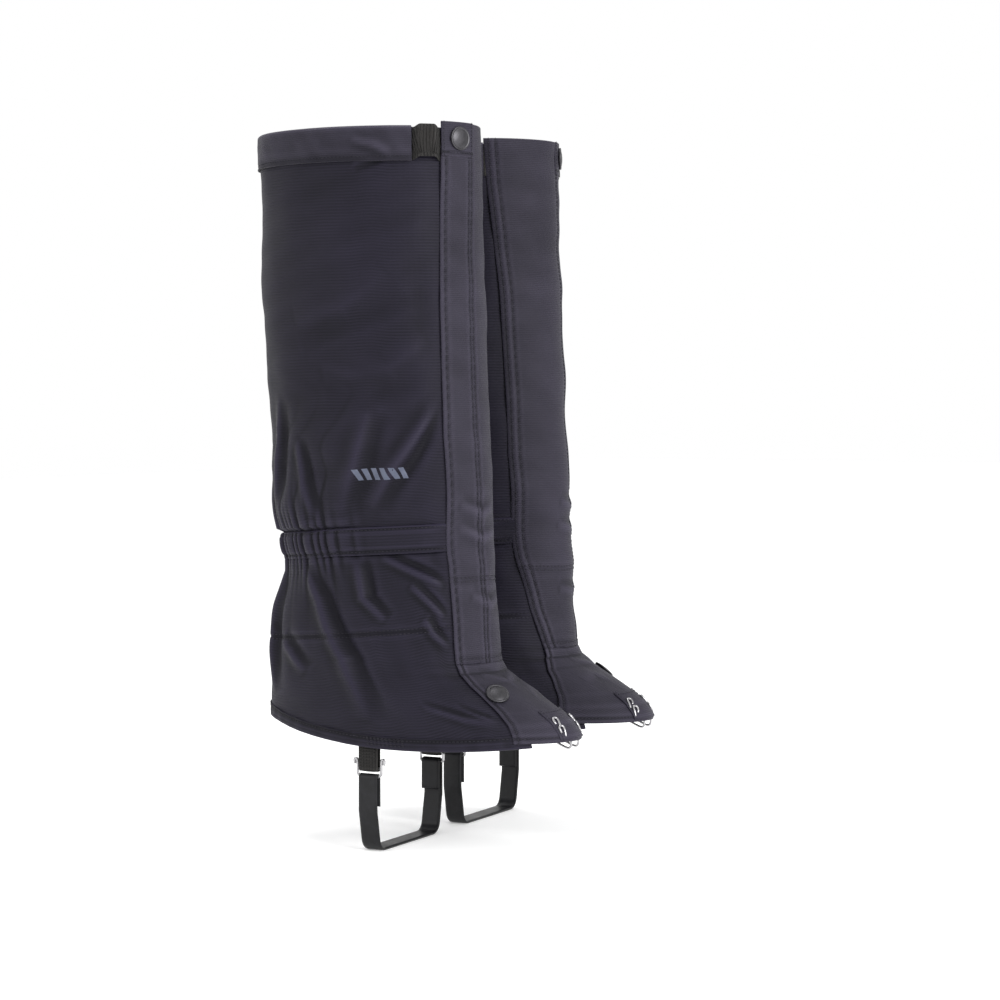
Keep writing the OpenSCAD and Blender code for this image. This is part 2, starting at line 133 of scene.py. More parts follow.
# %% Shader helpers
class Wire:
    def __init__(self, finish, socket):
        self.finish = finish
        self.socket = socket

    def maths(self, operation, first, second):
        return self.finish.add("ShaderNodeMath", {"operation": operation}, first, second)

    def __add__(self, other):
        return self.maths("ADD", self, other)

    def __radd__(self, other):
        return self.maths("ADD", other, self)

    def __sub__(self, other):
        return self.maths("SUBTRACT", self, other)

    def __rsub__(self, other):
        return self.maths("SUBTRACT", other, self)

    def __mul__(self, other):
        return self.maths("MULTIPLY", self, other)

    def __rmul__(self, other):
        return self.maths("MULTIPLY", other, self)

    def within(self, low, high):
        return self.finish.add("ShaderNodeClamp", {}, self, low, high)

    def wave(self):
        return self.finish.add("ShaderNodeMath", {"operation": "SINE"}, self)


class Finish:
    def __init__(self, name, colour, metallic=0.0, roughness=0.6, **constants):
        self.material = bpy.data.materials.new(name)
        self.material.use_nodes = True
        self.tree = self.material.node_tree
        self.shader = self.tree.nodes["Principled BSDF"]
        self.shader.inputs["Base Color"].default_value = (*colour, 1.0)
        self.shader.inputs["Metallic"].default_value = metallic
        self.shader.inputs["Roughness"].default_value = roughness
        for socket, value in constants.items():
            self.shader.inputs[socket.replace("_", " ")].default_value = value

    def put(self, socket, value):
        if isinstance(value, Wire):
            self.tree.links.new(value.socket, socket)
        else:
            socket.default_value = value

    def add(self, kind, settings=None, *values, output=0, **named):
        node = self.tree.nodes.new(kind)
        for key, value in (settings or {}).items():
            setattr(node, key, value)
        for socket, value in zip(node.inputs, values):
            self.put(socket, value)
        for key, value in named.items():
            self.put(node.inputs[key.replace("_", " ")], value)
        return Wire(self, node.outputs[output])

    def place(self):
        return self.add("ShaderNodeTexCoord", output="Object")

    def cloth_place(self):
        """How far round and how far down the cloth a point is, in metres, from the UV map."""
        cloth_map = self.add("ShaderNodeUVMap", {"uv_map": "cloth"})
        split = self.add("ShaderNodeSeparateXYZ", {}, cloth_map)
        return split, Wire(self, split.socket.node.outputs["Y"])

    def mark(self, name):
        return self.add("ShaderNodeAttribute", {"attribute_name": name}, output="Fac")

    def speckle(self, scale, detail=2.0, rough=0.5, where=None):
        where = where or self.place()
        return self.add("ShaderNodeTexNoise", {}, Vector=where, Scale=scale, Detail=detail,
                        Roughness=rough, output="Fac")

    def blend(self, factor, first, second):
        """A colour between two colours."""
        node = self.tree.nodes.new("ShaderNodeMix")
        node.data_type = "RGBA"
        ends = [s for s in node.inputs if s.type == "RGBA"]
        for socket, value in zip([node.inputs[0], *ends], (factor, first, second)):
            self.put(socket, (*value, 1.0) if isinstance(value, tuple) else value)
        return Wire(self, next(s for s in node.outputs if s.type == "RGBA"))

    def surface(self, **sockets):
        for key, value in sockets.items():
            self.put(self.shader.inputs[key.replace("_", " ")], value)
        return self.material

    def relief(self, height, distance, strength=1.0):
        return self.add("ShaderNodeBump", {}, Height=height, Distance=distance, Strength=strength,
                        output="Normal")


print("helpers ready")

# %% [markdown]
# The cloth is a tightly woven nylon with fine ribs across it. Its threads are finer than a millimetre,
# so they belong in the material and not in the mesh. The ribs follow the cloth's own map, which bends
# with each fold, while dust and uneven dye sit in the object's space. Each mesh also carries a mark of
# how sharply it bends, which paints highlight onto crests and shade into creases.

# %% Cloth finishes
def woven(name, dark, light, rib=0.0022, roughness=0.58, ribs_show=1.0, sheen=0.03):
    cloth = Finish(name, dark, roughness=roughness, Sheen_Weight=sheen, Sheen_Roughness=0.45,
                   Specular_IOR_Level=0.14)
    around, down = cloth.cloth_place()
    wander = cloth.speckle(60.0) * 0.35
    rows = (down * (TURN / rib) + wander * 6.0).wave()
    yarns = (around * (TURN / (rib * 0.4))).wave()
    patchy = cloth.speckle(55.0, 2.0, 0.5) * 1.6 - 0.1
    weave = rows * patchy * 0.8 + yarns * 0.2
    fuzz = cloth.speckle(1400.0, 3.0, 0.7)
    dye = cloth.speckle(14.0, 4.0, 0.55)
    # The bend mark paints highlight onto crests and shade into creases, and makes crests a little
    # glossier.
    fold = cloth.mark("fold")
    shade = (0.38 + weave * (0.24 * ribs_show) + (fuzz - 0.5) * 0.35 + (dye - 0.5) * 0.7
             + fold * 0.75)
    height = weave * 0.7 + fuzz * 0.3
    return cloth.surface(
        Base_Color=cloth.blend(shade.within(0.0, 1.0), dark, light),
        Roughness=(roughness + (fuzz - 0.5) * 0.16 - fold * 0.06).within(0.3, 0.95),
        Normal=cloth.relief(height, 0.0002, 0.85))


TAPE_YARN = 0.0009


def ribbed_tape(name, dark, light, pitch, roughness=0.7):
    tape = Finish(name, dark, roughness=roughness, Specular_IOR_Level=0.14, Sheen_Weight=0.03,
                  Sheen_Roughness=0.5)
    around, down = tape.cloth_place()
    rows = (around * (TURN / pitch)).wave()
    slants = ((way * (TURN / TAPE_YARN)).wave() for way in (around + down, around - down))
    yarns = next(slants) * next(slants)
    fuzz = tape.speckle(1500.0, 3.0, 0.7)
    # The bend mark paints a little highlight onto crests and shade into creases.
    shade = 0.4 + rows * 0.28 + yarns * 0.12 + (fuzz - 0.5) * 0.5 + tape.mark("fold") * 0.3
    return tape.surface(
        Base_Color=tape.blend(shade.within(0.0, 1.0), dark, light),
        Roughness=(roughness + (fuzz - 0.5) * 0.2).within(0.4, 0.95),
        Normal=tape.relief(rows * 0.6 + yarns * 0.4 + fuzz * 0.3, 0.0003, 0.8))


PANEL = woven("panel cloth", (0.0034, 0.0029, 0.0062), (0.0165, 0.0140, 0.0270))
TRIM = woven("trim cloth", (0.0085, 0.0076, 0.0125), (0.036, 0.032, 0.049), rib=0.0014,
             ribs_show=0.8)
HEM = woven("hem cloth", (0.0032, 0.0027, 0.0056), (0.0145, 0.0123, 0.0235))
WEBBING = ribbed_tape("cinch webbing weave", (0.005, 0.0048, 0.0047), (0.032, 0.030, 0.029),
                      0.0024)
LOOPS = ribbed_tape("loop tape", (0.010, 0.010, 0.011), (0.035, 0.035, 0.038), 0.0019)
HOOK_BACK = ribbed_tape("hook tape back", (0.012, 0.012, 0.013), (0.03, 0.03, 0.032), 0.0021)
ELASTIC = ribbed_tape("elastic weave", (0.25, 0.25, 0.25), (0.55, 0.55, 0.54), 0.0013)
print("cloth finishes", [m.name for m in (PANEL, TRIM, HEM, WEBBING, LOOPS, HOOK_BACK, ELASTIC)])

# %% [markdown]
# The snaps are plated a dark gunmetal, the buckle and the lace hook are bright plated wire, and the
# strap is a moulded band with a low shine. Metal needs little colour of its own: fine scratches and
# uneven roughness do most of the work.

# %% Hard finishes
def plated(name, colour, worn, roughness, metallic=1.0):
    metal = Finish(name, colour, metallic=metallic, roughness=roughness)
    cloudy = metal.speckle(220.0, 4.0, 0.6)
    fine = metal.speckle(2600.0, 2.0, 0.6)
    marks = (cloudy * 0.6 + fine * 0.4 - 0.35) * 1.6
    return metal.surface(
        Base_Color=metal.blend(marks.within(0.0, 1.0), colour, worn),
        Roughness=(roughness + (cloudy - 0.5) * 0.22 + (fine - 0.5) * 0.1).within(0.08, 0.9),
        Normal=metal.relief(fine, 0.00003, 0.5))


def moulded(name, colour, worn, roughness):
    band = Finish(name, colour, roughness=roughness, Specular_IOR_Level=0.25)
    grain = band.speckle(1800.0, 2.0, 0.5)
    scuffs = band.speckle(90.0, 5.0, 0.65)
    return band.surface(
        Base_Color=band.blend(((scuffs - 0.45) * 2.2).within(0.0, 1.0), colour, worn),
        Roughness=(roughness + (scuffs - 0.5) * 0.3 + (grain - 0.5) * 0.12).within(0.2, 0.9),
        Normal=band.relief(grain * 0.6 + scuffs * 0.4, 0.00006, 0.6))


GUNMETAL = plated("gunmetal", (0.045, 0.044, 0.048), (0.095, 0.093, 0.10), 0.42)
NICKEL = plated("nickel", (0.42, 0.42, 0.43), (0.58, 0.58, 0.59), 0.28)
BRIGHT_WIRE = plated("bright wire", (0.33, 0.325, 0.335), (0.52, 0.515, 0.525), 0.27)
STRAP = moulded("moulded strap", (0.0045, 0.0045, 0.0055), (0.015, 0.015, 0.018), 0.42)
HOOKS = moulded("moulded hooks", (0.016, 0.016, 0.018), (0.04, 0.04, 0.044), 0.5)
THREAD = moulded("sewing thread", (0.012, 0.011, 0.017), (0.036, 0.034, 0.044), 0.6)
PRINT = moulded("reflective print", (0.070, 0.080, 0.115), (0.13, 0.14, 0.19), 0.5)
floor_finish = Finish("floor", (0.9, 0.9, 0.9), roughness=0.75, Emission_Color=(1.0, 1.0, 1.0, 1.0),
                      Emission_Strength=0.16)
shadow_grain = floor_finish.speckle(30.0, 2.0, 0.5)
floor.data.materials.append(floor_finish.surface(
    Roughness=(0.75 + (shadow_grain - 0.5) * 0.05).within(0.5, 0.9)))
print("hard finishes", [m.name for m in (GUNMETAL, NICKEL, BRIGHT_WIRE, STRAP, HOOKS, THREAD, PRINT)])

# %% [markdown]
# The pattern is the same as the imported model's. A leg has an oval section at each height, given by its
# back, its widest place, its front and its half width. A place on it is a height and an angle: 0 is the
# front, 90 the outer side, 180 the back and 270 the inner side. A depth goes out from the surface.

# %% The leg's surface
RIM_X = -46.0
PAIR_HALF = 65.0
STATIONS = np.array([
    [530, -83, 0, 88, 58], [500, -83, 0, 88.5, 58], [400, -80, 0, 92, 58], [325, -76, 0, 95.5, 57],
    [288, -73.5, 0, 98, 55], [261, -71, 0, 99.5, 52.5], [234, -65, 2, 100.5, 47.5],
    [223, -62, 3, 101, 45.5], [207, -58.5, 6, 102, 45], [195, -64.5, 9, 102.5, 46.5],
    [174, -71, 14, 104, 48.5], [150, -73.5, 20, 105, 50.5], [129, -74, 30, 108, 51.5],
    [115, -74.5, 40, 133, 52], [95, -75, 50, 167, 52], [82, -75, 55, 174, 52], [60, -75, 58, 175, 52]])
FREE_EDGE = np.array([[524, 27], [397, 30], [302, 30], [208, 26], [164, 28], [132, 30],
                      [109, 32.5], [84, 35]])
SEWN_EDGE = np.array([[524, 46], [492, 45], [411, 41], [286, 38], [223, 33], [168, 30], [138, 26]])
TONGUE_EDGE = np.array([[138, 27], [131, 26.5], [120, 33], [108, 38], [94, 42], [84, 43]])
RIM_Z, CASING_Z, CASING_H, HEM_Z, HEM_H = 524.0, 224.5, 20.0, 76.0, 9.0
FLAP_END, TONGUE_TIP = 138.0, 84.0
TONGUE_ROOT = 131.0


def lookup(table, z, column=1):
    return np.interp(z, table[::-1, 0], table[::-1, column])


def smooth(z, column):
    return (lookup(STATIONS, z - 8, column) + 2 * lookup(STATIONS, z, column)
            + lookup(STATIONS, z + 8, column)) / 4


def leg(z, angle):
    """Points of the right leg's surface about its own middle plane, in millimetres."""
    a = np.radians(angle)
    z = z + 0 * a
    ahead = np.cos(a) > 0
    middle = smooth(z, 2)
    reach = np.where(ahead, smooth(z, 3) - middle, middle - smooth(z, 1))
    power = np.where(ahead, 1.0, 0.78 + 0.22 * np.clip((z - 110) / 100, 0, 1))
    wide = np.sign(np.sin(a)) * np.abs(np.sin(a)) ** power
    return np.stack([RIM_X + middle + reach * np.cos(a), -smooth(z, 4) * wide, z], -1)


def skin(z, angle, depth):
    """The same points, moved out along the surface's normal."""
    out = np.cross(leg(z + 1, angle) - leg(z - 1, angle), leg(z, angle + 1) - leg(z, angle - 1))
    out /= np.linalg.norm(out, axis=-1, keepdims=True)
    return leg(z, angle) + out * np.asarray(depth)[..., None]


def front_angle(z, y):
    """The angle of a place y mm from the middle plane on the front half, towards the outer side."""
    return np.degrees(np.arcsin(np.clip(y / smooth(z, 4), -1, 1)))


def free_angle(z, back=0.0):
    return front_angle(z, lookup(FREE_EDGE, z) - back)


def sewn_angle(z, back=0.0):
    return -front_angle(z, lookup(SEWN_EDGE, z) + back)


def tongue_angle(z, back=0.0):
    return -front_angle(z, lookup(TONGUE_EDGE, z) + back)


def inner_edge(z, tongue_back, sewn_from, sewn_back, change):
    """The edge on the inner side: the tongue's below, the flap's sewn one above."""
    return mix(tongue_angle(np.minimum(z, TONGUE_ROOT), tongue_back),
               sewn_angle(np.maximum(z, sewn_from), sewn_back), ease(z, *change))


def casing_middle(angle):
    return CASING_Z + 5.5 * np.cos(np.radians(angle))


def hem_line(angle):
    c = np.cos(np.radians(angle))
    return HEM_Z + np.where(c > 0, 7.0, 17.0) * c * c


def mix(first, second, share):
    return first + (second - first) * share


def ease(value, low, high):
    """0 below low, 1 above high, and a smooth rise between them."""
    t = np.clip((value - low) / (high - low), 0, 1)
    return t * t * (3 - 2 * t)


print("front of the rim", np.round(skin(RIM_Z, 0.0, 0.0), 1))

# %% [markdown]
# Cloth is a grid of points with a thickness. The grid could be modelled by hand, but a garment is cut to
# a pattern, so a rule is easier to keep true. Each sheet is given as rows of places on the leg and a
# depth, plus a `lift` that pushes it in or out for folds and seams. The sheet is closed by a rounded
# rim, gets a map in metres for its weave, and a mark from how sharply it bends, for painted shade in
# creases and painted highlight on crests.

# %% Cloth sheets
class Sheet:
    """A grid of middle points in millimetres, row by row down the cloth, with its lengths."""

    def __init__(self, points, thickness):
        self.points = points
        self.thickness = thickness
        self.round_step = np.gradient(points, axis=1)
        self.down_step = np.gradient(points, axis=0)
        out = np.cross(self.round_step, self.down_step)
        self.out = out / (np.linalg.norm(out, axis=-1, keepdims=True) + 1e-9)
        self.across = self.lengths(1)
        self.down = self.lengths(0)

    def lengths(self, axis):
        steps = np.linalg.norm(np.diff(self.points, axis=axis), axis=-1)
        start = np.zeros_like(self.points[..., 0][:, :1] if axis else self.points[..., 0][:1])
        return np.concatenate([start, np.cumsum(steps, axis=axis)], axis=axis)

    def bend(self):
        """How sharply the sheet bends, from -1 in a crease to 1 on a crest."""
        total = 0
        for axis, step in ((1, self.round_step), (0, self.down_step)):
            turn = np.gradient(step, axis=axis)
            total = total - (turn * self.out).sum(-1) / ((step * step).sum(-1) + 1e-6)
        return np.tanh((total - 0.02) * 5.0)

    def area(self):
        """The sheet's area in square metres."""
        cells = np.linalg.norm(np.cross(self.round_step, self.down_step), axis=-1)
        return float(cells[:-1, :-1].sum()) * MM * MM

    def at(self, column, row, proud=0.15):
        """A point just above the sheet, at fractions of its grid, and the outward way there."""
        rows, columns = self.points.shape[:2]
        i, j = np.clip(column, 0, columns - 1.001), np.clip(row, 0, rows - 1.001)
        left, top = i.astype(int), j.astype(int)
        across, down = (i - left)[..., None], (j - top)[..., None]

        def between(grid):
            upper = mix(grid[top, left], grid[top, left + 1], across)
            return mix(upper, mix(grid[top + 1, left], grid[top + 1, left + 1], across), down)

        way = between(self.out)
        return between(self.points) + (self.thickness / 2 + proud) * way, way

    def line_down(self, inset, proud=0.15):
        """A run down the sheet, inset mm from its first side, or from its last side if negative."""
        return self.line(self.points, self.out, self.across, inset, proud)

    def line_across(self, inset, proud=0.15):
        points, out, down = (np.swapaxes(each, 0, 1) for each in (self.points, self.out, self.down))
        return self.line(points, out, down, inset, proud)

    def line(self, points, out, lengths, inset, proud):
        found, ways = [], []
        for row, normal, length in zip(points, out, lengths):
            wanted = inset if inset >= 0 else length[-1] + inset
            at = np.interp(wanted, length, np.arange(len(length)))
            k = min(int(at), len(length) - 2)
            way = mix(normal[k], normal[k + 1], at - k)
            found.append(mix(row[k], row[k + 1], at - k) + (self.thickness / 2 + proud) * way)
            ways.append(way)
        return np.array(found), np.array(ways)


def to_side(points, side):
    """Puts points of the pattern in their place on one side of the pair, in metres."""
    placed = np.array(points, float) * MM
    placed[..., 1] = (placed[..., 1] - PAIR_HALF * MM) * (1 if side == "right" else -1)
    return placed


def new_piece(name, vertices, faces, side, finish):
    """A mesh object from pattern points. The left side is a mirror, so its faces are turned round."""
    if side == "left":
        faces = [face[::-1] for face in faces]
    mesh = bpy.data.meshes.new(name)
    mesh.from_pydata(to_side(vertices, side).tolist(), [], [tuple(face) for face in faces])
    mesh.polygons.foreach_set("use_smooth", [True] * len(mesh.polygons))
    mesh.materials.append(finish)
    return in_scene(name, mesh)


def edge_loop(rows, columns):
    """The grid's border, as (row, column) pairs in order."""
    return ([(0, i) for i in range(columns - 1)] + [(j, columns - 1) for j in range(rows - 1)]
            + [(rows - 1, i) for i in range(columns - 1, 0, -1)]
            + [(j, 0) for j in range(rows - 1, 0, -1)])


def sheet_piece(name, sheet, side, finish):
    rows, columns = sheet.points.shape[:2]
    count = rows * columns
    half = sheet.thickness / 2
    border = edge_loop(rows, columns)
    along_round = sheet.round_step / np.linalg.norm(sheet.round_step, axis=-1, keepdims=True)
    along_down = sheet.down_step / np.linalg.norm(sheet.down_step, axis=-1, keepdims=True)
    rim = []
    for j, i in border:
        away = (along_round[j, i] * ((i == columns - 1) - float(i == 0))
                + along_down[j, i] * ((j == rows - 1) - float(j == 0)))
        rim.append(sheet.points[j, i] + away * half)
    outer = (sheet.points + sheet.out * half).reshape(-1, 3)
    inner = (sheet.points - sheet.out * half).reshape(-1, 3)
    vertices = np.concatenate([outer, inner, rim])
    cell = np.arange(count).reshape(rows, columns)
    corners = (cell[:-1, :-1], cell[:-1, 1:], cell[1:, 1:], cell[1:, :-1])
    a, b, c, d = (corner.ravel() for corner in corners)
    quads = [np.stack([a, b, c, d], 1), np.stack([d, c, b, a], 1) + count]
    edge = np.array([j * columns + i for j, i in border])
    after = np.roll(edge, -1)
    rim_at = 2 * count + np.arange(len(border))
    rim_after = np.roll(rim_at, -1)
    quads.append(np.stack([edge, rim_at, rim_after, after], 1))
    quads.append(np.stack([rim_at, edge + count, after + count, rim_after], 1))
    piece = new_piece(name, vertices, np.concatenate(quads).tolist(), side, finish)
    per_vertex = np.stack([sheet.across, sheet.down], -1).reshape(-1, 2) * MM
    per_vertex = np.concatenate([per_vertex, per_vertex, per_vertex[edge]])
    used = np.empty(len(piece.data.loops), int)
    piece.data.loops.foreach_get("vertex_index", used)
    piece.data.uv_layers.new(name="cloth").data.foreach_set("uv", per_vertex[used].ravel())
    # The bend mark for painted shade and highlight: high on crests, low in creases, turned over on the
    # inside, and a fixed paler value on the rims as a painted highlight along the edges.
    fold = sheet.bend().ravel()
    mark = piece.data.attributes.new("fold", "FLOAT", "POINT")
    mark.data.foreach_set("value", np.concatenate([fold, -fold, fold[edge] * 0 + 0.5]))
    return piece


def grid(columns, rows):
    """u round the cloth and v down it, both from 0 to 1."""
    return np.meshgrid(np.linspace(0, 1, columns + 1), np.linspace(0, 1, rows + 1))


def cut_sheet(place, depth, thickness, columns, rows, lift=None):
    """A sheet from a rule of places, moved in and out by lift(z, angle, flat sheet)."""
    z, angle = place(*grid(columns, rows))
    flat = Sheet(skin(z, angle, depth + 0 * z), thickness)
    if lift is None:
        return flat
    return Sheet(skin(z, angle, depth + lift(z, angle, flat)), thickness)


def clear_of_ends(flat, first, last):
    """0 at the two side edges of a sheet and 1 away from them, over the two spans given."""
    return ease(flat.across, *first) * ease(flat.across[:, -1:] - flat.across, *last)


def tell(piece, sheet):
    widths = np.round(sheet.across[[0, -1], -1], 0)
    print(piece.name, "area", round(sheet.area(), 4), "width", widths)


print("a border of a 3 x 3 grid has", len(edge_loop(3, 3)), "points")

# %% [markdown]
# Three kinds of fold are needed. `ripples` is a slow unevenness, made of waves in random directions.
# `crease` is one fold along a path, with a valley beside its steep side. `gathers` are the small
# puckers where the elastic draws the cloth in, each with its own width, height and length. Each side
# has its own random numbers, because no two gaiters wrinkle the same way.

# %% Folds
ROUND_MM = 1.25


def ripples(x, y, seed, size, count=8):
    pick = np.random.default_rng(seed)
    total = 0
    for _ in range(count):
        way = pick.uniform(0, math.pi)
        wave = size * pick.uniform(0.7, 1.7)
        total = total + np.sin((x * math.cos(way) + y * math.sin(way)) * TURN / wave
                               + pick.uniform(0, TURN))
    return total / math.sqrt(count)


def nearest_on_path(x, y, path):
    """Signed distance from a path of points, and how far along it the nearest point is, 0 to 1."""
    path = np.array(path, float)
    lengths = np.hypot(*np.diff(path, axis=0).T)
    best = np.full(np.shape(x), 1e9)
    side = np.zeros(np.shape(x))
    share = np.zeros(np.shape(x))
    before = 0.0
    for start, step, length in zip(path, np.diff(path, axis=0), lengths):
        t = np.clip(((x - start[0]) * step[0] + (y - start[1]) * step[1]) / length ** 2, 0, 1)
        dx, dy = x - start[0] - t * step[0], y - start[1] - t * step[1]
        distance = np.hypot(dx, dy)
        closer = distance < best
        best = np.where(closer, distance, best)
        side = np.where(closer, np.sign(step[0] * dy - step[1] * dx), side)
        share = np.where(closer, (before + t * length) / lengths.sum(), share)
        before += length
    return best * np.where(side == 0, 1, side), share


def crease(z, angle, path, width, height, valley=0.45):
    """A crease whose crest follows path, given as (angle, z) points."""
    x = angle * ROUND_MM
    line = [(a * ROUND_MM, level) for a, level in path]
    distance, share = nearest_on_path(x, z, line)
    fade = np.sin(np.pi * share) ** 0.8
    steep = np.where(distance > 0, width, width * 0.6)
    crest = np.exp(-(distance / steep) ** 2)
    hollow = np.exp(-((distance + 1.5 * width) / (0.9 * width)) ** 2)
    return height * fade * (crest - valley * hollow)


def long_folds(z, angle, folds):
    """The creases of a list of (path, width, height), pressed a little sharper than they are listed."""
    return sum(1.3 * crease(z, angle, path, width * 0.85, height, 0.75)
               for path, width, height in folds)


def gather_places(seed, first=76.0, last=284.0, pitch=7.2):
    pick = np.random.default_rng(seed)
    edges = [first]
    while edges[-1] < last:
        edges.append(edges[-1] + pitch * pick.uniform(0.6, 1.5))
    count = len(edges) - 1
    return np.array(edges), pick.uniform(0.55, 1.25, count), pick.uniform(12, 46, count)


def gathers(angle, away, places, sharp=0.75):
    """Puckers at a distance away from the elastic: high in the middle of each, with sharp valleys."""
    edges, heights, lengths = places
    at = np.clip(np.searchsorted(edges, angle) - 1, 0, len(heights) - 1)
    share = np.clip((angle - edges[at]) / (edges[at + 1] - edges[at]), 0, 1)
    hump = np.sin(np.pi * share) ** sharp
    begins = ease(angle, edges[0] - 2, edges[0] + 16)
    ends = 1 - ease(angle, edges[-1] - 16, edges[-1] + 2)
    return heights[at] * hump * np.exp(-(away / lengths[at]) ** 1.4) * begins * ends


def longer(places, share):
    """The same gathers, with their lengths multiplied."""
    edges, heights, lengths = places
    return edges, heights, lengths * share


FINE = {"right": gather_places(11), "left": gather_places(23)}
DEEP = {"right": gather_places(5, pitch=15.0), "left": gather_places(8, pitch=15.0)}
for side in SIDES:
    print(side, "has", len(FINE[side][1]), "fine and", len(DEEP[side][1]), "deep gathers")

# %% [markdown]
# Seams are lines of thread, a stitch every three millimetres. Hundreds of them follow the cloth, so one
# Geometry Nodes tree sets a bead at each step along a run of points. The same tree, with other sizes,
# makes the ribs of the webbing and the hooks of the tape. Each run carries the cloth's outward
# direction, so that a bead lies flat on it.

# %% Beads along a run
BEAD_SIZES = ("Pitch", "Along", "Beside", "Out")
BEAD_SEGMENTS, BEAD_RINGS = 6, 4
BEAD_FACES = BEAD_SEGMENTS * BEAD_RINGS


def make_bead_tree():
    tree = bpy.data.node_groups.new("beads along a run", "GeometryNodeTree")
    tree.interface.new_socket("Run", in_out="INPUT", socket_type="NodeSocketGeometry")
    for size in BEAD_SIZES:
        tree.interface.new_socket(size, in_out="INPUT", socket_type="NodeSocketFloat")
    tree.interface.new_socket("Finish", in_out="INPUT", socket_type="NodeSocketMaterial")
    tree.interface.new_socket("Beads", in_out="OUTPUT", socket_type="NodeSocketGeometry")

    def node(kind, **settings):
        made = tree.nodes.new(kind)
        for key, value in settings.items():
            setattr(made, key, value)
        return made

    def join(source, output, target, socket):
        tree.links.new(source.outputs[output], target.inputs[socket])

    given = node("NodeGroupInput")
    curve = node("GeometryNodeMeshToCurve")
    steps = node("GeometryNodeResampleCurve", mode="LENGTH")
    bead = node("GeometryNodeMeshUVSphere")
    bead.inputs["Segments"].default_value = BEAD_SEGMENTS
    bead.inputs["Rings"].default_value = BEAD_RINGS
    bead.inputs["Radius"].default_value = 0.5
    size = node("ShaderNodeCombineXYZ")
    tangent = node("GeometryNodeInputTangent")
    out_way = node("GeometryNodeInputNamedAttribute", data_type="FLOAT_VECTOR")
    out_way.inputs["Name"].default_value = "out_way"
    turn = node("FunctionNodeAxesToRotation", primary_axis="X", secondary_axis="Z")
    place = node("GeometryNodeInstanceOnPoints")
    solid = node("GeometryNodeRealizeInstances")
    paint = node("GeometryNodeSetMaterial")
    result = node("NodeGroupOutput")
    join(given, "Run", curve, "Mesh")
    join(curve, "Curve", steps, "Curve")
    join(given, "Pitch", steps, "Length")
    join(steps, "Curve", place, "Points")
    join(bead, "Mesh", place, "Instance")
    for key, part in zip("XYZ", BEAD_SIZES[1:]):
        join(given, part, size, key)
    join(size, "Vector", place, "Scale")
    join(tangent, "Tangent", turn, "Primary Axis")
    join(out_way, "Attribute", turn, "Secondary Axis")
    join(turn, "Rotation", place, "Rotation")
    join(place, "Instances", solid, "Geometry")
    join(solid, "Geometry", paint, "Geometry")
    join(given, "Finish", paint, "Material")
    join(paint, "Geometry", result, "Beads")
    return tree


BEADS = make_bead_tree()


def bead_piece(name, runs, side, finish, pitch, along, beside, out):
    """Beads along runs of (points, outward directions), as one plain mesh. Sizes are in millimetres."""
    mirror = np.array([1, 1 if side == "right" else -1, 1])
    points = np.concatenate([to_side(run[0], side) for run in runs])
    ways = np.concatenate([run[1] * mirror for run in runs])
    edges, first = [], 0
    for run in runs:
        edges += [(first + k, first + k + 1) for k in range(len(run[0]) - 1)]
        first += len(run[0])
    thread = bpy.data.meshes.new(name + "_run")
    thread.from_pydata(points.tolist(), edges, [])
    thread.attributes.new("out_way", "FLOAT_VECTOR", "POINT").data.foreach_set("vector", ways.ravel())
    maker = in_scene(name + "_maker", thread)
    modifier = maker.modifiers.new("beads", "NODES")
    modifier.node_group = BEADS
    sockets = {item.name: item.identifier for item in BEADS.interface.items_tree
               if item.item_type == "SOCKET" and item.in_out == "INPUT"}
    for key, value in zip(BEAD_SIZES, (pitch, along, beside, out)):
        modifier[sockets[key]] = value * MM
    modifier[sockets["Finish"]] = finish
    bpy.context.view_layer.update()
    made = maker.evaluated_get(bpy.context.evaluated_depsgraph_get())
    mesh = bpy.data.meshes.new_from_object(made)
    bpy.data.objects.remove(maker)
    mesh.name = name
    mesh.polygons.foreach_set("use_smooth", [True] * len(mesh.polygons))
    return in_scene(name, mesh)


def stitches(name, runs, side, pitch=3.0, length=2.2, beside=0.55, out=0.5):
    return bead_piece(name, runs, side, THREAD, pitch, length, beside, out)


def part_of(run, first, last):
    """The places of a run from first up to last."""
    return run[0][first:last], run[1][first:last]


print("bead tree with inputs", BEAD_SIZES)

# %% [markdown]
# A moving cloth part has to bend where it is sewn on, or it would tear away when the flap is peeled. The
# ends of a span across the flap's hinge line, square to it, and of one over the bend at the top of the
# foot are worked out, but not used: each piece only has its placement baked into its mesh.

# %% Spans at the flap's hinge and the tongue's bend
FLAP_AXIS = np.array([-31.5, 14.0, 332.0]) / np.linalg.norm([-31.5, 14.0, 332.0])
FLAP_HINGE = np.array([RIM_X + 83.1, 33.0, 160.0])
OUTER_WAY = np.array([0.0, -1.0, 0.0])
FLAP_WAY = OUTER_WAY - FLAP_AXIS * (OUTER_WAY @ FLAP_AXIS)
FLAP_REACH = (-6.0, 12.0)
TONGUE_BEND = (138.0, 125.0)


def bend_with_flap(piece, side):
    start, end = (tuple(to_side(FLAP_HINGE + FLAP_WAY * reach, side)) for reach in FLAP_REACH)
    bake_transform(piece)


def bend_with_tongue(piece, side):
    start, end = (tuple(to_side(np.array([RIM_X + 103.0, 0.0, z]), side)) for z in TONGUE_BEND)
    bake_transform(piece)


def declare(side, nodes=()):
    if nodes:
        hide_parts(*(f"{side}_{node}" for node in nodes))


print("flap bends across", np.round(FLAP_WAY, 3))

# %% [markdown]
# The calf panel is one piece of cloth from the flap's free edge round the back to its sewn edge. It is
# nearly smooth at the rim, and its fullness collects above the elastic: fine puckers close to the
# casing, deeper ones that reach higher, and two long folds that run down towards the ankle.

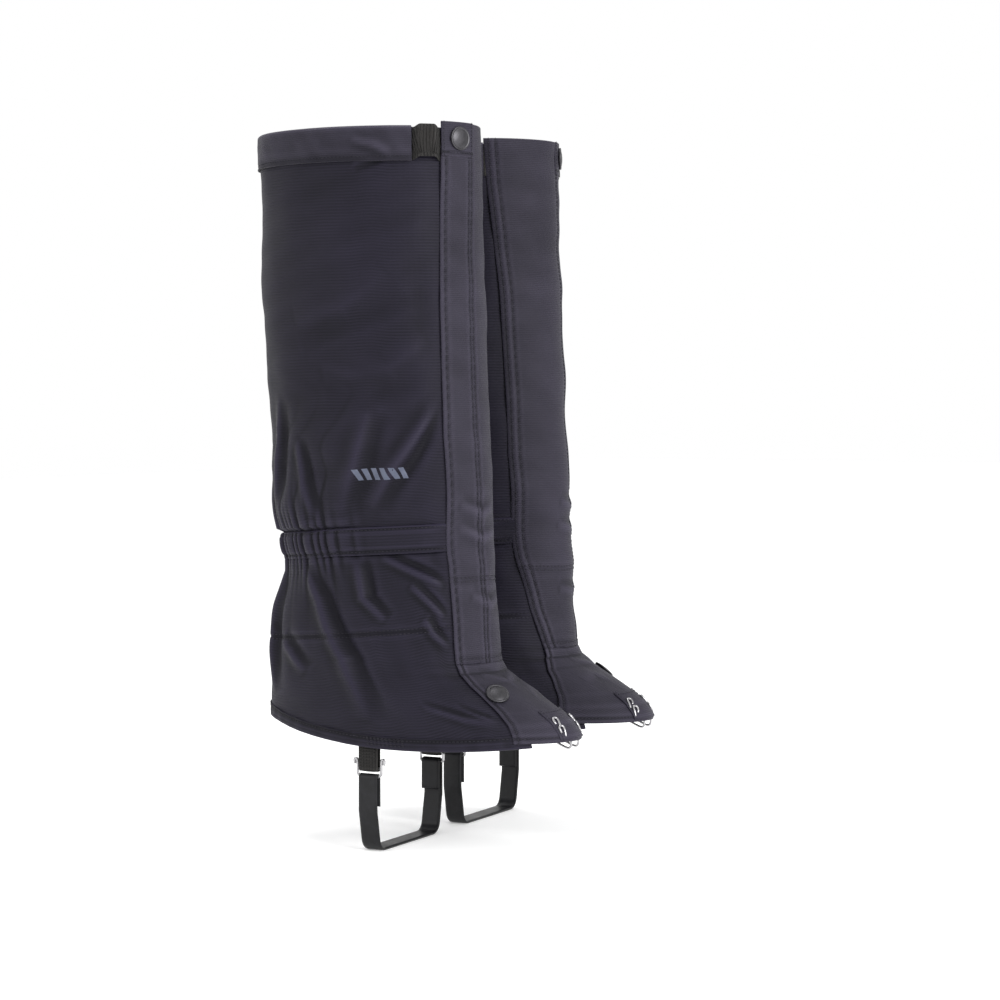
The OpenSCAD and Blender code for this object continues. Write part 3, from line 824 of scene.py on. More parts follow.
# %% Calf panel
CALF_FOLDS = {
    "right": [
        ([(70, 322), (77, 282), (86, 246)], 7.0, 2.6),
        ([(32, 330), (47, 303), (60, 278), (72, 250)], 6.5, 2.8),
        ([(112, 300), (108, 268), (102, 244)], 5.5, 2.0),
        ([(128, 330), (134, 290), (140, 252)], 7.5, 2.6),
        ([(60, 420), (82, 396), (110, 385)], 13.0, 1.5), ([(40, 372), (60, 352), (92, 344)], 12.0, 1.3),
        ([(165, 352), (190, 318), (206, 262)], 9.0, 3.0),
        ([(232, 300), (240, 270), (236, 244)], 7.0, 2.4),
        ([(280, 340), (266, 300), (262, 256)], 8.0, 2.4), ([(57, 508), (66, 502), (76, 498)], 3.5, 1.2),
    ],
    "left": [
        ([(64, 330), (74, 292), (84, 250)], 8.0, 2.8), ([(38, 300), (50, 276), (62, 250)], 6.0, 2.2),
        ([(120, 310), (124, 276), (118, 246)], 7.0, 2.6),
        ([(150, 360), (172, 330), (186, 270)], 9.0, 3.0),
        ([(262, 330), (252, 290), (248, 250)], 7.5, 2.8),
        ([(300, 360), (284, 312), (276, 254)], 8.0, 2.6),
        ([(222, 310), (226, 276), (220, 246)], 6.5, 2.4),
        ([(60, 440), (84, 418), (116, 402)], 12.0, 1.5),
        ([(250, 452), (276, 430), (300, 400)], 12.0, 1.6),
    ],
}


def seam_dip(distance, depth=0.5, width=1.3):
    """The hollow along a line of stitches."""
    return -depth * np.exp(-(distance / width) ** 2)


def calf_lift(side):
    fine, deep = FINE[side], DEEP[side]
    seed = SIDES.index(side)

    def lift(z, angle, flat):
        x = angle * ROUND_MM
        away = np.maximum(z - casing_middle(angle) - CASING_H / 2, 0)
        free = clear_of_ends(flat, (7, 26), (8, 30))
        top = ease(RIM_Z - z, 22, 60)
        total = 1.1 * ripples(x, z, 40 + seed, 95) * top + 0.3 * ripples(x, z * 1.6, 50 + seed, 34)
        total = total + long_folds(z, angle, CALF_FOLDS[side])
        swing = 0.35 * away * ripples(away * 0 + x * 0.2, away, 60 + seed, 60) * ease(away, 4, 40)
        pucker = 2.3 * gathers(angle, away, longer(fine, 0.55))
        pucker = pucker + 3.0 * gathers(angle + swing * 0.5, away, longer(deep, 1.5), 0.9)
        blouse = 2.2 * ease(angle, 66, 100) * (1 - ease(angle, 262, 296))
        blouse = blouse * np.exp(-((away - 16) / 15) ** 2)
        tuck = ease(z - casing_middle(angle) - CASING_H / 2, -0.6, 3.0)
        return free * tuck * (total + pucker + blouse) - 0.8 * free * np.exp(-(away / 2.2) ** 2)

    return lift


def calf_place(u, v):
    start = mix(free_angle(400.0), 360 + sewn_angle(400.0), u)
    z = mix(RIM_Z - 1.4, casing_middle(start) + CASING_H / 2 - 1.8, v)
    return z, mix(free_angle(z, 5.0), 360 + sewn_angle(z, -5.0), u)


CALF_GRID = (300, 104)
calf_sheets, gaiter_runs = {}, {side: [] for side in SIDES}
for side in SIDES:
    sheet = cut_sheet(calf_place, 0.5, 0.8, *CALF_GRID, calf_lift(side))
    calf_sheets[side] = sheet
    piece = sheet_piece(f"{side}_calf_cloth", sheet, side, PANEL)
    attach(piece, f"{side}_gaiter")
    declare(side, ["calf_panel"])
    tell(piece, sheet)

# %% [markdown]
# Low on the outer side a row of slanted bars is printed in a pale grey that shines back in headlights.
# A print is a thin skin on the cloth, so each bar is a small sheet whose points are looked up on the
# calf cloth, a tenth of a millimetre above it. It follows every fold that it crosses.

# %% Printed bars
BAR_COUNT, BAR_PITCH, BAR_WIDE = 6, 7.4, 4.4
BAR_TALL, BAR_SLANT = 9.0, 4.0
PRINT_ANGLE, PRINT_Z = 77.0, 275.0


def bar_sheet(cloth, heights, angles, start):
    row = int(np.argmin(np.abs(heights[:, heights.shape[1] // 4] - PRINT_Z)))
    first = int(np.argmin(np.abs(angles[row] - PRINT_ANGLE)))
    right, down = grid(10, 12)
    across = cloth.across[row, first] - start - BAR_WIDE * (1 - right) - BAR_SLANT * (down - 0.5)
    column = np.interp(across, cloth.across[row], np.arange(cloth.across.shape[1]))
    level = np.interp(cloth.down[row, first] + BAR_TALL * down, cloth.down[:, first],
                      np.arange(len(cloth.down)))
    return Sheet(cloth.at(column, level, 0.07)[0], 0.12)


for side in SIDES:
    places = calf_place(*grid(*CALF_GRID))
    for number in range(BAR_COUNT):
        sheet = bar_sheet(calf_sheets[side], *places, BAR_PITCH * number)
        bar = sheet_piece(f"{side}_print_bar_{number}", sheet, side, PRINT)
        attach(bar, f"{side}_gaiter")
    print(side, "has", BAR_COUNT, "printed bars")

# %% [markdown]
# Folded bands edge the cloth: the collar folds over the rim, the casing holds the elastic, and the hem
# turns in at the bottom. A U-shaped section swept round the leg gives both layers and the fold between
# them. Only the outer layer takes the folds, so the band keeps its place inside.

# %% Folded bands
def folded_sheet(place, inside, outside, rise, thickness, columns, lift, layer_rows=10):
    """A band folded over at the top (rise > 0) or at the bottom, from its open edges at place(u)."""
    tall, radius = abs(rise), (outside - inside - thickness) / 2
    straight = tall - radius - thickness / 2
    turn = np.radians(np.linspace(0, 180, 7))
    layer = np.linspace(0, straight, layer_rows)
    low, high = inside + thickness / 2, outside - thickness / 2
    section = ([(h, low) for h in layer]
               + [(straight + radius * math.sin(t), mix(low, high, (1 - math.cos(t)) / 2))
                  for t in turn[1:-1]]
               + [(h, high) for h in layer[::-1]])
    if rise < 0:
        section = [(-h, d) for h, d in section[::-1]]
    section = np.array(section)
    u = np.linspace(0, 1, columns + 1)
    z0, angle = place(u)
    z = z0[None, :] + section[:, :1]
    angle = np.broadcast_to(angle, z.shape)
    share = np.broadcast_to((section[:, 1:] - low) / (high - low), z.shape)
    flat = Sheet(skin(z, angle, section[:, 1:] + 0 * z), thickness)
    push = lift(z, angle, flat) * share
    return Sheet(skin(z, angle, section[:, 1:] + push), thickness)


COLLAR_H = 25.0


def collar_place(u):
    z = RIM_Z - COLLAR_H
    return z + 0 * u, mix(front_angle(z, 41.5), 360 + sewn_angle(z, 0.5), u)


def collar_lift(side):
    seed = SIDES.index(side)

    def lift(z, angle, flat):
        x = angle * ROUND_MM
        wave = 0.35 * ripples(x, z, 70 + seed, 60) + 0.15 * ripples(x, z, 72 + seed, 16)
        pull = crease(z, angle, [(56, 505), (64, 510), (76, 514)], 3.0, 1.3)
        pull = pull + crease(z, angle, [(262, 512), (280, 503), (292, 498)], 3.5, 0.9)
        rows = seam_dip(z - (RIM_Z - COLLAR_H + 3.0), 0.8) + seam_dip(z - (RIM_Z - 3.5), 0.3)
        return wave + pull + rows

    return lift


for side in SIDES:
    sheet = folded_sheet(collar_place, -1.2, 3.3, COLLAR_H, 0.8, 190, collar_lift(side))
    piece = sheet_piece(f"{side}_collar_cloth", sheet, side, TRIM)
    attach(piece, f"{side}_gaiter")
    declare(side, ["collar_band"])
    gaiter_runs[side] += [sheet.line_across(-3.0)]
    tell(piece, sheet)

# %% [markdown]
# At the ankle the elastic is shorter than the cloth round it, so the casing puckers between its two
# rows of stitches. The puckers are the same ones that start the folds above and below, which makes the
# three pieces read as one gathered cloth.

# %% Ankle casing and elastic
def casing_place(u):
    angle = mix(free_angle(CASING_Z, 4.0), 360 + sewn_angle(CASING_Z, -4.0), u)
    return casing_middle(angle) - CASING_H / 2, angle


def casing_lift(side):
    fine, deep = FINE[side], DEEP[side]

    def lift(z, angle, flat):
        height = z - casing_middle(angle)
        ends = clear_of_ends(flat, (5, 24), (6, 28))
        tall = np.clip(1 - (height / 10.5) ** 2, 0, 1)
        pucker = (2.9 * gathers(angle, 0 * z, fine) * (0.45 + 0.55 * tall)
                  + 1.2 * gathers(angle, 0 * z, deep, 1.1))
        plump = 0.9 * tall ** 0.5
        rows = seam_dip(height - 8.2, 0.9, 1.1) + seam_dip(height + 7.6, 0.9, 1.1)
        return ends * (plump + pucker + rows) - 0.3 * (1 - ends)

    return lift


ELASTIC_SPAN = (75.0, 285.0)


def elastic_place(u, v):
    angle = mix(*ELASTIC_SPAN, u)
    return casing_middle(angle) + 5.6 - 14.0 * v, angle


for side in SIDES:
    sheet = folded_sheet(casing_place, -0.9, 1.9, CASING_H, 0.7, 320, casing_lift(side), 16)
    piece = sheet_piece(f"{side}_casing_cloth", sheet, side, PANEL)
    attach(piece, f"{side}_gaiter")
    declare(side, ["ankle_casing"])
    gaiter_runs[side] += [sheet.line_across(-2.2), sheet.line_across(-18.4)]
    tell(piece, sheet)
    elastic = cut_sheet(elastic_place, 0.5, 0.6, 110, 4)
    band = sheet_piece(f"{side}_elastic_band", elastic, side, ELASTIC)
    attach(band, f"{side}_gaiter")
    declare(side, ["ankle_elastic"])

# %% [markdown]
# The skirt spreads over the boot. Cloth that leaves a tight ankle falls in cones, so its folds start
# narrow at the casing and widen downwards. The long one on the outer side runs to the hem, and the hem's
# stitches pull small creases towards the front.

# %% Skirt and hem
SKIRT_FOLDS = {
    "right": [
        ([(118, 206), (108, 182), (98, 140), (99, 96)], 6.5, 3.6),
        ([(82, 214), (81, 184), (72, 168)], 4.5, 2.4), ([(70, 214), (55, 204), (39, 194)], 4.0, 2.0),
        ([(57, 194), (48, 182), (40, 171)], 3.5, 1.8), ([(140, 150), (131, 142), (122, 128)], 6.0, 2.0),
        ([(52, 170), (46, 158), (38, 150)], 4.0, 1.6), ([(72, 108), (58, 100), (44, 97)], 3.5, 1.3),
        ([(56, 106), (46, 100), (36, 97)], 3.0, 1.2), ([(150, 200), (158, 160), (152, 110)], 8.0, 3.0),
        ([(186, 200), (190, 150), (184, 104)], 8.5, 3.0),
        ([(226, 204), (230, 160), (240, 110)], 7.5, 3.0),
        ([(262, 206), (258, 168), (262, 110)], 7.0, 3.2),
        ([(296, 206), (300, 178), (312, 150)], 5.0, 2.2),
    ],
    "left": [
        ([(112, 206), (104, 170), (108, 120)], 7.0, 3.2), ([(80, 212), (74, 190), (66, 166)], 5.0, 2.4),
        ([(60, 208), (50, 194), (40, 180)], 4.0, 1.9), ([(148, 202), (156, 156), (150, 104)], 8.0, 3.0),
        ([(184, 202), (180, 150), (190, 104)], 8.5, 2.8),
        ([(222, 204), (216, 164), (222, 108)], 7.0, 3.0),
        ([(254, 206), (262, 168), (258, 104)], 7.0, 3.6),
        ([(286, 208), (290, 184), (302, 160)], 5.0, 2.6),
        ([(280, 150), (288, 130), (300, 116)], 5.0, 1.8), ([(70, 110), (56, 100), (42, 97)], 3.5, 1.3),
    ],
}


def seam_height(angle):
    return 157.5 + 7.5 * np.cos(np.radians(angle))


def skirt_lift(side):
    fine, deep = FINE[side], DEEP[side]
    seed = SIDES.index(side)

    def lift(z, angle, flat):
        x = angle * ROUND_MM
        away = np.maximum(casing_middle(angle) - CASING_H / 2 - z, 0)
        free = clear_of_ends(flat, (9, 24), (9, 26))
        low = ease(z - hem_line(angle), 6, 40)
        total = 0.7 * ripples(x, z, 80 + seed, 60) * low + 0.2 * ripples(x, z, 90 + seed, 22)
        total = total + long_folds(z, angle, SKIRT_FOLDS[side])
        pucker = 2.2 * gathers(angle, away, longer(fine, 0.5))
        pucker = pucker + 1.9 * gathers(angle, away, longer(deep, 1.1), 0.9)
        seam = z - seam_height(angle)
        return free * (total + pucker + seam_dip(seam, 0.8, 1.5) - 0.9 * np.exp(-(away / 2.0) ** 2))

    return lift


LOW_Z = 90.0


def low_angle(u):
    """Angles along the bottom, from the flap's free edge to the tongue's inner edge."""
    return mix(free_angle(LOW_Z, 5.0), 360 + tongue_angle(LOW_Z, -5.0), u)


def skirt_place(u, v):
    high = mix(free_angle(CASING_Z, 7.0), 360 + sewn_angle(CASING_Z, -5.0), u)
    z = mix(casing_middle(high) - CASING_H / 2 + 0.6, hem_line(low_angle(u)) + HEM_H - 2.0, v)
    front = mix(5.0, 7.0, ease(z, 122, 140))
    return z, mix(free_angle(z, front), 360 + inner_edge(z, -5.0, 138.0, -5.0, (124, 146)), u)


def hem_place(u):
    angle = low_angle(u)
    return hem_line(angle) + HEM_H, angle


def hem_lift(side):
    above = skirt_lift(side)
    seed = SIDES.index(side)

    def lift(z, angle, flat):
        seam = hem_line(angle) + HEM_H
        carried = above(seam, angle, flat)
        ends = clear_of_ends(flat, (6, 22), (6, 22))
        uneven = 0.3 * ripples(angle * ROUND_MM, z, 95 + seed, 12)
        return carried + ends * (0.35 + uneven + seam_dip(z - seam + 1.8, 0.5))

    return lift


def seam_run(sheet, gap):
    """A row of stitches along the skirt's seam, gap mm above it or below, clear of both ends."""
    heights, angles = skirt_place(*grid(*SKIRT_GRID))
    above = heights - seam_height(angles) - gap
    columns = np.arange(8, SKIRT_GRID[0] - 7, 2)
    rows = [np.interp(0, -above[:, i], np.arange(SKIRT_GRID[1] + 1)) for i in columns]
    return sheet.at(columns.astype(float), np.array(rows))


SKIRT_GRID = (320, 76)
CLOSE_STITCHES = (87.0, 101.0)
HEM_ANGLES = hem_place(np.linspace(0, 1, SKIRT_GRID[0] + 1))[1]
for side in SIDES:
    sheet = cut_sheet(skirt_place, 0.5, 0.8, *SKIRT_GRID, skirt_lift(side))
    piece = sheet_piece(f"{side}_skirt_cloth", sheet, side, PANEL)
    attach(piece, f"{side}_gaiter")
    declare(side, ["skirt_panel"])
    gaiter_runs[side] += [seam_run(sheet, gap) for gap in (-1.6, 1.6)]
    tell(piece, sheet)
    hem = folded_sheet(hem_place, -0.7, 1.5, -HEM_H, 0.7, SKIRT_GRID[0], hem_lift(side), 8)
    band = sheet_piece(f"{side}_hem_cloth", hem, side, HEM)
    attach(band, f"{side}_gaiter")
    declare(side, ["bottom_hem"])
    gaiter_runs[side].append(hem.line_across(1.8))
    first, last = (int(np.argmin(np.abs(HEM_ANGLES - turn))) for turn in CLOSE_STITCHES)
    for inset in np.arange(1.0, 7.5, 1.3):
        gaiter_runs[side].append(part_of(hem.line_across(inset, 0.35), first, last))
    tell(band, hem)

# %% [markdown]
# The storm flap covers the opening. It is two layers of the trim cloth, sewn to the inner side and free
# on the outer side, where it stands a little off the panel. Rows of stitches hold its edge and the hook
# tape behind it, and each row draws the cloth into a shallow groove.

# %% Storm flap
FLAP_TOP = RIM_Z + 2.5
FLAP_ROWS = (-3.2, -24.0, -27.0, 3.4, 8.6)
CROSS_ROWS = (196.0, 199.0)
FLAP_FOLDS = ([(28, 236), (10, 228), (-12, 232)], [(26, 252), (8, 246), (-8, 250)],
              [(22, 186), (4, 180), (-14, 183)])


def flap_place(u, v):
    z = mix(FLAP_TOP, FLAP_END, v)
    return z, mix(sewn_angle(z, -0.8), free_angle(z), u)


def flap_lift(side):
    seed = SIDES.index(side)

    def lift(z, angle, flat):
        from_free = flat.across[:, -1:] - flat.across
        x = angle * ROUND_MM
        total = 0.6 * ripples(x * 0.4, z, 100 + seed, 62) + 0.25 * ripples(x, z * 2, 104 + seed, 40)
        for row in FLAP_ROWS:
            distance = from_free + row if row < 0 else flat.across - row
            total = total + seam_dip(distance, 0.4, 1.2) * (1 + 0.35 * np.sin(z * 0.9 + 3 * seed))
        for level in (*CROSS_ROWS, 141.5):
            total = total + seam_dip(z - level, 0.45, 1.2)
        for path in FLAP_FOLDS:
            total = total + crease(z, angle, path, 4.5, 1.3)
        roll = -0.5 * np.exp(-from_free / 1.1)
        return total + roll - 0.9 * (1 - ease(flat.across, 0, 6))

    return lift


for side in SIDES:
    sheet = cut_sheet(flap_place, 2.65, 1.3, 66, 190, flap_lift(side))
    piece = sheet_piece(f"{side}_flap_cloth", sheet, side, TRIM)
    bend_with_flap(piece, side)
    declare(side, ["storm_flap"])
    runs = [sheet.line_down(row) for row in FLAP_ROWS]
    runs += [sheet.line_across(FLAP_TOP - level) for level in CROSS_ROWS] + [sheet.line_across(-3.0)]
    thread = stitches(f"{side}_flap_thread", runs, side)
    bend_with_flap(thread, side)
    print(piece.name, "area", round(sheet.area(), 4), "and", len(thread.data.polygons), "thread faces")

# %% [markdown]
# The tongue goes on from the flap over the foot. At its tip a small patch holds the bent wire hook that
# catches the lace. The flap's end covers the tongue's first few millimetres, so no gap opens when the
# tongue is lifted.

# %% Tongue and its patch
TONGUE_ROW = 3.2


def tongue_place(u, v):
    z = mix(141.0, TONGUE_TIP, v)
    return z, mix(inner_edge(z, 0.0, 136.0, -0.8, (129, 139)), free_angle(z), u)


def tongue_lift(side):
    seed = SIDES.index(side)

    def lift(z, angle, flat):
        from_free = flat.across[:, -1:] - flat.across
        total = 0.3 * ripples(angle * ROUND_MM, z, 120 + seed, 34) - 0.7 * ease(z, 134, 140)
        for distance in (flat.across, from_free, flat.down[-1:] - flat.down):
            total = total + seam_dip(distance - TONGUE_ROW, 0.4, 1.2)
        total = total + crease(z, angle, [(24, 128), (6, 122), (-14, 127)], 3.5, 0.8)
        total = total + crease(z, angle, [(-26, 112), (-12, 116), (0, 112)], 4.0, 0.7)
        return total

    return lift


def patch_place(u, v):
    return mix(102.5, TONGUE_TIP + 1.0, v), mix(-17.0, 17.0, u)


for side in SIDES:
    sheet = cut_sheet(tongue_place, 2.65, 1.2, 96, 60, tongue_lift(side))
    piece = sheet_piece(f"{side}_tongue_cloth", sheet, side, TRIM)
    bend_with_tongue(piece, side)
    declare(side, ["tongue"])
    runs = [sheet.line_down(TONGUE_ROW), sheet.line_down(-TONGUE_ROW), sheet.line_across(-TONGUE_ROW)]
    patch = cut_sheet(patch_place, 3.75, 0.7, 40, 26)
    cover = sheet_piece(f"{side}_tongue_patch_cloth", patch, side, TRIM)
    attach(cover, f"{side}_tongue")
    declare(side, ["tongue_patch"])
    runs += [patch.line_across(2.0), patch.line_down(2.0), patch.line_down(-2.0)]
    thread = stitches(f"{side}_tongue_thread", runs, side, pitch=2.6, length=1.9)
    bend_with_tongue(thread, side)
    print(piece.name, "area", round(sheet.area(), 4), "patch", round(patch.area(), 5))

# %% [markdown]
# Behind the flap the gaiter really opens, so what is inside has to be right too: the underlap that keeps
# snow out, the soft loop tape sewn to it, and the hook tape on the flap, with rows of small hooks.

# %% Underlap and tapes
TAPE_BACK, TAPE_TOP, TAPE_END = 7.0, 498.0, 146.0


def underlap_place(u, v):
    z = mix(RIM_Z - 2.0, 107.0, v)
    return z, mix(inner_edge(z, -2.0, 136.0, -5.0, (126, 142)), free_angle(z, -3.5), u)


def underlap_lift(z, angle, flat):
    return 0.2 * ripples(angle * ROUND_MM, z, 130, 60) - 0.2


def tape_place(u, v):
    z = mix(TAPE_TOP, TAPE_END, v)
    return z, free_angle(z, TAPE_BACK + 20.0 * (1 - u))


for side in SIDES:
    underlap = cut_sheet(underlap_place, -1.2, 0.7, 34, 130, underlap_lift)
    piece = sheet_piece(f"{side}_underlap_cloth", underlap, side, PANEL)
    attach(piece, f"{side}_gaiter")
    declare(side, ["underlap"])
    pile = cut_sheet(tape_place, -0.05, 0.8, 10, 90)
    loops = sheet_piece(f"{side}_loop_tape_pile", pile, side, LOOPS)
    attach(loops, f"{side}_gaiter")
    declare(side, ["loop_tape"])
    tape = cut_sheet(tape_place, 1.25, 0.5, 10, 90)
    backing = sheet_piece(f"{side}_hook_tape_back", tape, side, HOOK_BACK)
    bend_with_flap(backing, side)
    declare(side, ["hook_tape"])
    lines = [tape.line_down(inset, -0.6) for inset in np.arange(2.0, 19.0, 2.4)]
    inward = [(points, -ways) for points, ways in lines]
    hooks = bead_piece(f"{side}_hook_rows", inward, side, HOOKS, 2.6, 0.8, 0.9, 0.7)
    bend_with_flap(hooks, side)
    tell(piece, underlap)
    print(hooks.name, "has", len(hooks.data.polygons) // BEAD_FACES, "hooks")

# %% [markdown]
# The cinch webbing runs round inside the collar and shows only beside the flap, where it stands out in a
# small loop. It is a coarse tape, so its ribs are real: beads across it, one every 2.4 millimetres.

# %% Cinch webbing and the flap's tab
WEBBING_GRID = (150, 12)
WEBBING_H, WEBBING_MIDDLE = 22.5, RIM_Z - 14.0
SHOWN_SHARE = 0.16
SHOWN_FROM, SHOWN_TO = free_angle(WEBBING_MIDDLE, -0.6), front_angle(WEBBING_MIDDLE, 41.5)
TAB_TOP, TAB_END = RIM_Z + 3.0, 503.0


def webbing_place(u, v):
    shown = mix(SHOWN_FROM, SHOWN_TO, np.clip(u / SHOWN_SHARE, 0, 1))
    hidden = mix(SHOWN_TO, 360 + sewn_angle(WEBBING_MIDDLE, -1.0),
                 (u - SHOWN_SHARE) / (1 - SHOWN_SHARE))
    return RIM_Z - 2.5 - WEBBING_H * v, np.where(u < SHOWN_SHARE, shown, hidden)


def webbing_lift(z, angle, flat):
    share = np.clip((angle - SHOWN_FROM) / (SHOWN_TO - SHOWN_FROM), 0, 1)
    return 5.6 * ease(share, 0.0, 0.3) * (1 - ease(share, 0.72, 1.0)) - 0.2


def tab_place(u, v):
    z = mix(TAB_TOP, TAB_END, v)
    return z, front_angle(z, mix(3.5, 27.6, u))


def tab_lift(z, angle, flat):
    return seam_dip(flat.down - flat.down[-1:] + 2.4, 0.3)


for side in SIDES:
    webbing = cut_sheet(webbing_place, 1.75, 0.75, *WEBBING_GRID, webbing_lift)
    stands_out = webbing_lift(0, webbing_place(*grid(*WEBBING_GRID))[1], None) + 0.2
    webbing.points[..., 2] += 0.5 * stands_out
    piece = sheet_piece(f"{side}_cinch_webbing", webbing, side, WEBBING)
    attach(piece, f"{side}_gaiter")
    declare(side, ["calf_webbing"])
    ridge = part_of(webbing.line_across(11.2, 0.1), 0, 26)
    ribs = bead_piece(f"{side}_cinch_ribs", [ridge], side, WEBBING, 2.4, 1.5, 21.9, 1.1)
    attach(ribs, f"{side}_gaiter")
    tab = cut_sheet(tab_place, 3.75, 0.8, 24, 24, tab_lift)
    cover = sheet_piece(f"{side}_flap_tab", tab, side, TRIM)
    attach(cover, f"{side}_flap")
    declare(side)
    runs = [tab.line_across(-2.4), tab.line_down(1.8), tab.line_down(-1.8)]
    thread = stitches(f"{side}_tab_thread", runs, side, pitch=2.6, length=1.9)
    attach(thread, f"{side}_flap")
    print(ribs.name, "has", len(ribs.data.polygons) // BEAD_FACES, "ribs")
    print(cover.name, "area", round(tab.area(), 5))

# %% [markdown]
# The stitches of everything that stays with the leg are one mesh for each side. The skirt's seam and
# the small bar of close stitches over the buckle's webbing join them.

# %% Thread on the gaiter
for side in SIDES:
    thread = stitches(f"{side}_gaiter_thread", gaiter_runs[side], side)
    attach(thread, f"{side}_gaiter")
    print(thread.name, len(thread.data.polygons) // BEAD_FACES, "stitches")

# %% [markdown]
# A snap cap is pressed from sheet metal: a shallow dome inside a groove and a rolled rim. A turned
# profile gives that shape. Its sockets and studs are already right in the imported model, which only
# needs the plated finish.

# %% Snaps
CAP_PROFILE = [(0, 2.55), (1.6, 2.52), (3.4, 2.36), (5.0, 2.05), (6.1, 1.72), (6.6, 1.5), (6.9, 1.38),
               (7.2, 1.42), (7.5, 1.62), (7.9, 1.7), (8.3, 1.52), (8.5, 1.15), (8.5, 0.7),
               (8.25, 0.3), (7.6, 0.1), (0, 0.1)]
CAPS = (("top", 515.5, 16.0, 4.0, "flap"), ("lower", 115.0, 24.5, 3.1, "tongue"))


def circle(centre, radius, right, up, around):
    """Points of a circle, from its two directions."""
    angles = [TURN * k / around for k in range(around)]
    return [centre + radius * (right * math.cos(a) + up * math.sin(a)) for a in angles]


def refinish(node, finish):
    node.data.materials.clear()
    node.data.materials.append(finish)


def on_skin_axes(z, angle, depth):
    here = skin(np.array(z), np.array(angle), np.array(depth))
    out = skin(np.array(z), np.array(angle), np.array(depth + 1.0)) - here
    side_way = np.cross([0, 0, 1.0], out)
    side_way /= np.linalg.norm(side_way)
    return here, side_way, np.cross(out, side_way), out


def turned_piece(name, profile, seat, side, finish, around=64):
    """A profile of (radius, height) turned about the cloth's normal, with its poles closed."""
    here, right, up, out = seat
    vertices = [here + out * profile[0][1]]
    for radius, height in profile[1:-1]:
        vertices += [point + out * height for point in circle(here, radius, right, up, around)]
    vertices.append(here + out * profile[-1][1])
    last, rings = len(vertices) - 1, len(profile) - 2
    faces = [(0, 1 + k, 1 + (k + 1) % around) for k in range(around)]
    for ring in range(rings - 1):
        at = 1 + ring * around
        faces += [(at + k, at + around + k, at + around + (k + 1) % around, at + (k + 1) % around)
                  for k in range(around)]
    at = 1 + (rings - 1) * around
    faces += [(last, at + (k + 1) % around, at + k) for k in range(around)]
    return new_piece(name, np.array(vertices), faces, side, finish)


for side in SIDES:
    for which, z, y, depth, body in CAPS:
        seat = on_skin_axes(z, float(front_angle(z, y)), depth)
        cap = turned_piece(f"{side}_{which}_cap", CAP_PROFILE, seat, side, GUNMETAL)
        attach(cap, f"{side}_{body}")
        declare(side, [f"{which}_snap_cap"])
for name, node in NODES.items():
    if "snap" in name:
        refinish(node, NICKEL)
print("snap caps at", [cap[1] for cap in CAPS], "mm")

# %% [markdown]
# The wires are swept tubes with rounded ends: the lace hook under the tongue's tip with its clenched
# ends showing on top, and the buckle's open frame with its ends curled outwards.

# %% Wire parts
def rounded_path(path, passes=3):
    path = np.array(path, float)
    for _ in range(passes):
        corners = zip(path, path[1:], path[2:])
        cut = [np.array([mix(b, a, 0.25), mix(b, c, 0.25)]) for a, b, c in corners]
        path = np.concatenate([path[:1], *cut, path[-1:]])
    return path


def tube(path, radius, around=12):
    """Vertices and faces of a wire along a path, with rounded ends."""
    path = np.array(path)
    step = np.gradient(path, axis=0)
    step /= np.linalg.norm(step, axis=1, keepdims=True)
    side_way = np.cross(step[0], [0, 0, 1.0] if abs(step[0][2]) < 0.9 else [0, 1.0, 0])
    centres, radii, frames = [], [], []
    for point, way in zip(path, step):
        side_way = side_way - way * (side_way @ way)
        side_way /= np.linalg.norm(side_way)
        frames.append((side_way, np.cross(way, side_way)))
        centres.append(point)
        radii.append(radius)
    for share, back in ((0.95, 0.35), (0.7, 0.75)):
        centres.insert(0, path[0] - step[0] * radius * back)
        centres.append(path[-1] + step[-1] * radius * back)
        radii.insert(0, radius * share)
        radii.append(radius * share)
        frames.insert(0, frames[0])
        frames.append(frames[-1])
    vertices, faces = [], []
    for centre, size, (right, up) in zip(centres, radii, frames):
        vertices += circle(centre, size, right, up, around)
    for ring in range(len(centres) - 1):
        at = ring * around
        faces += [(at + k, at + (k + 1) % around, at + around + (k + 1) % around, at + around + k)
                  for k in range(around)]
    first, last = len(vertices), len(vertices) + 1
    vertices += [path[0] - step[0] * radius, path[-1] + step[-1] * radius]
    end = (len(centres) - 1) * around
    faces += [(first, (k + 1) % around, k) for k in range(around)]
    faces += [(last, end + k, end + (k + 1) % around) for k in range(around)]
    return np.array(vertices), faces


def joined(parts):
    vertices, faces, count = [], [], 0
    for points, loops in parts:
        vertices.append(points)
        faces += [tuple(k + count for k in loop) for loop in loops]
        count += len(points)
    return np.concatenate(vertices), faces


def beside(seat, down, round_way, up):
    here, right, level, out = seat
    return here - level * down - right * round_way + out * up


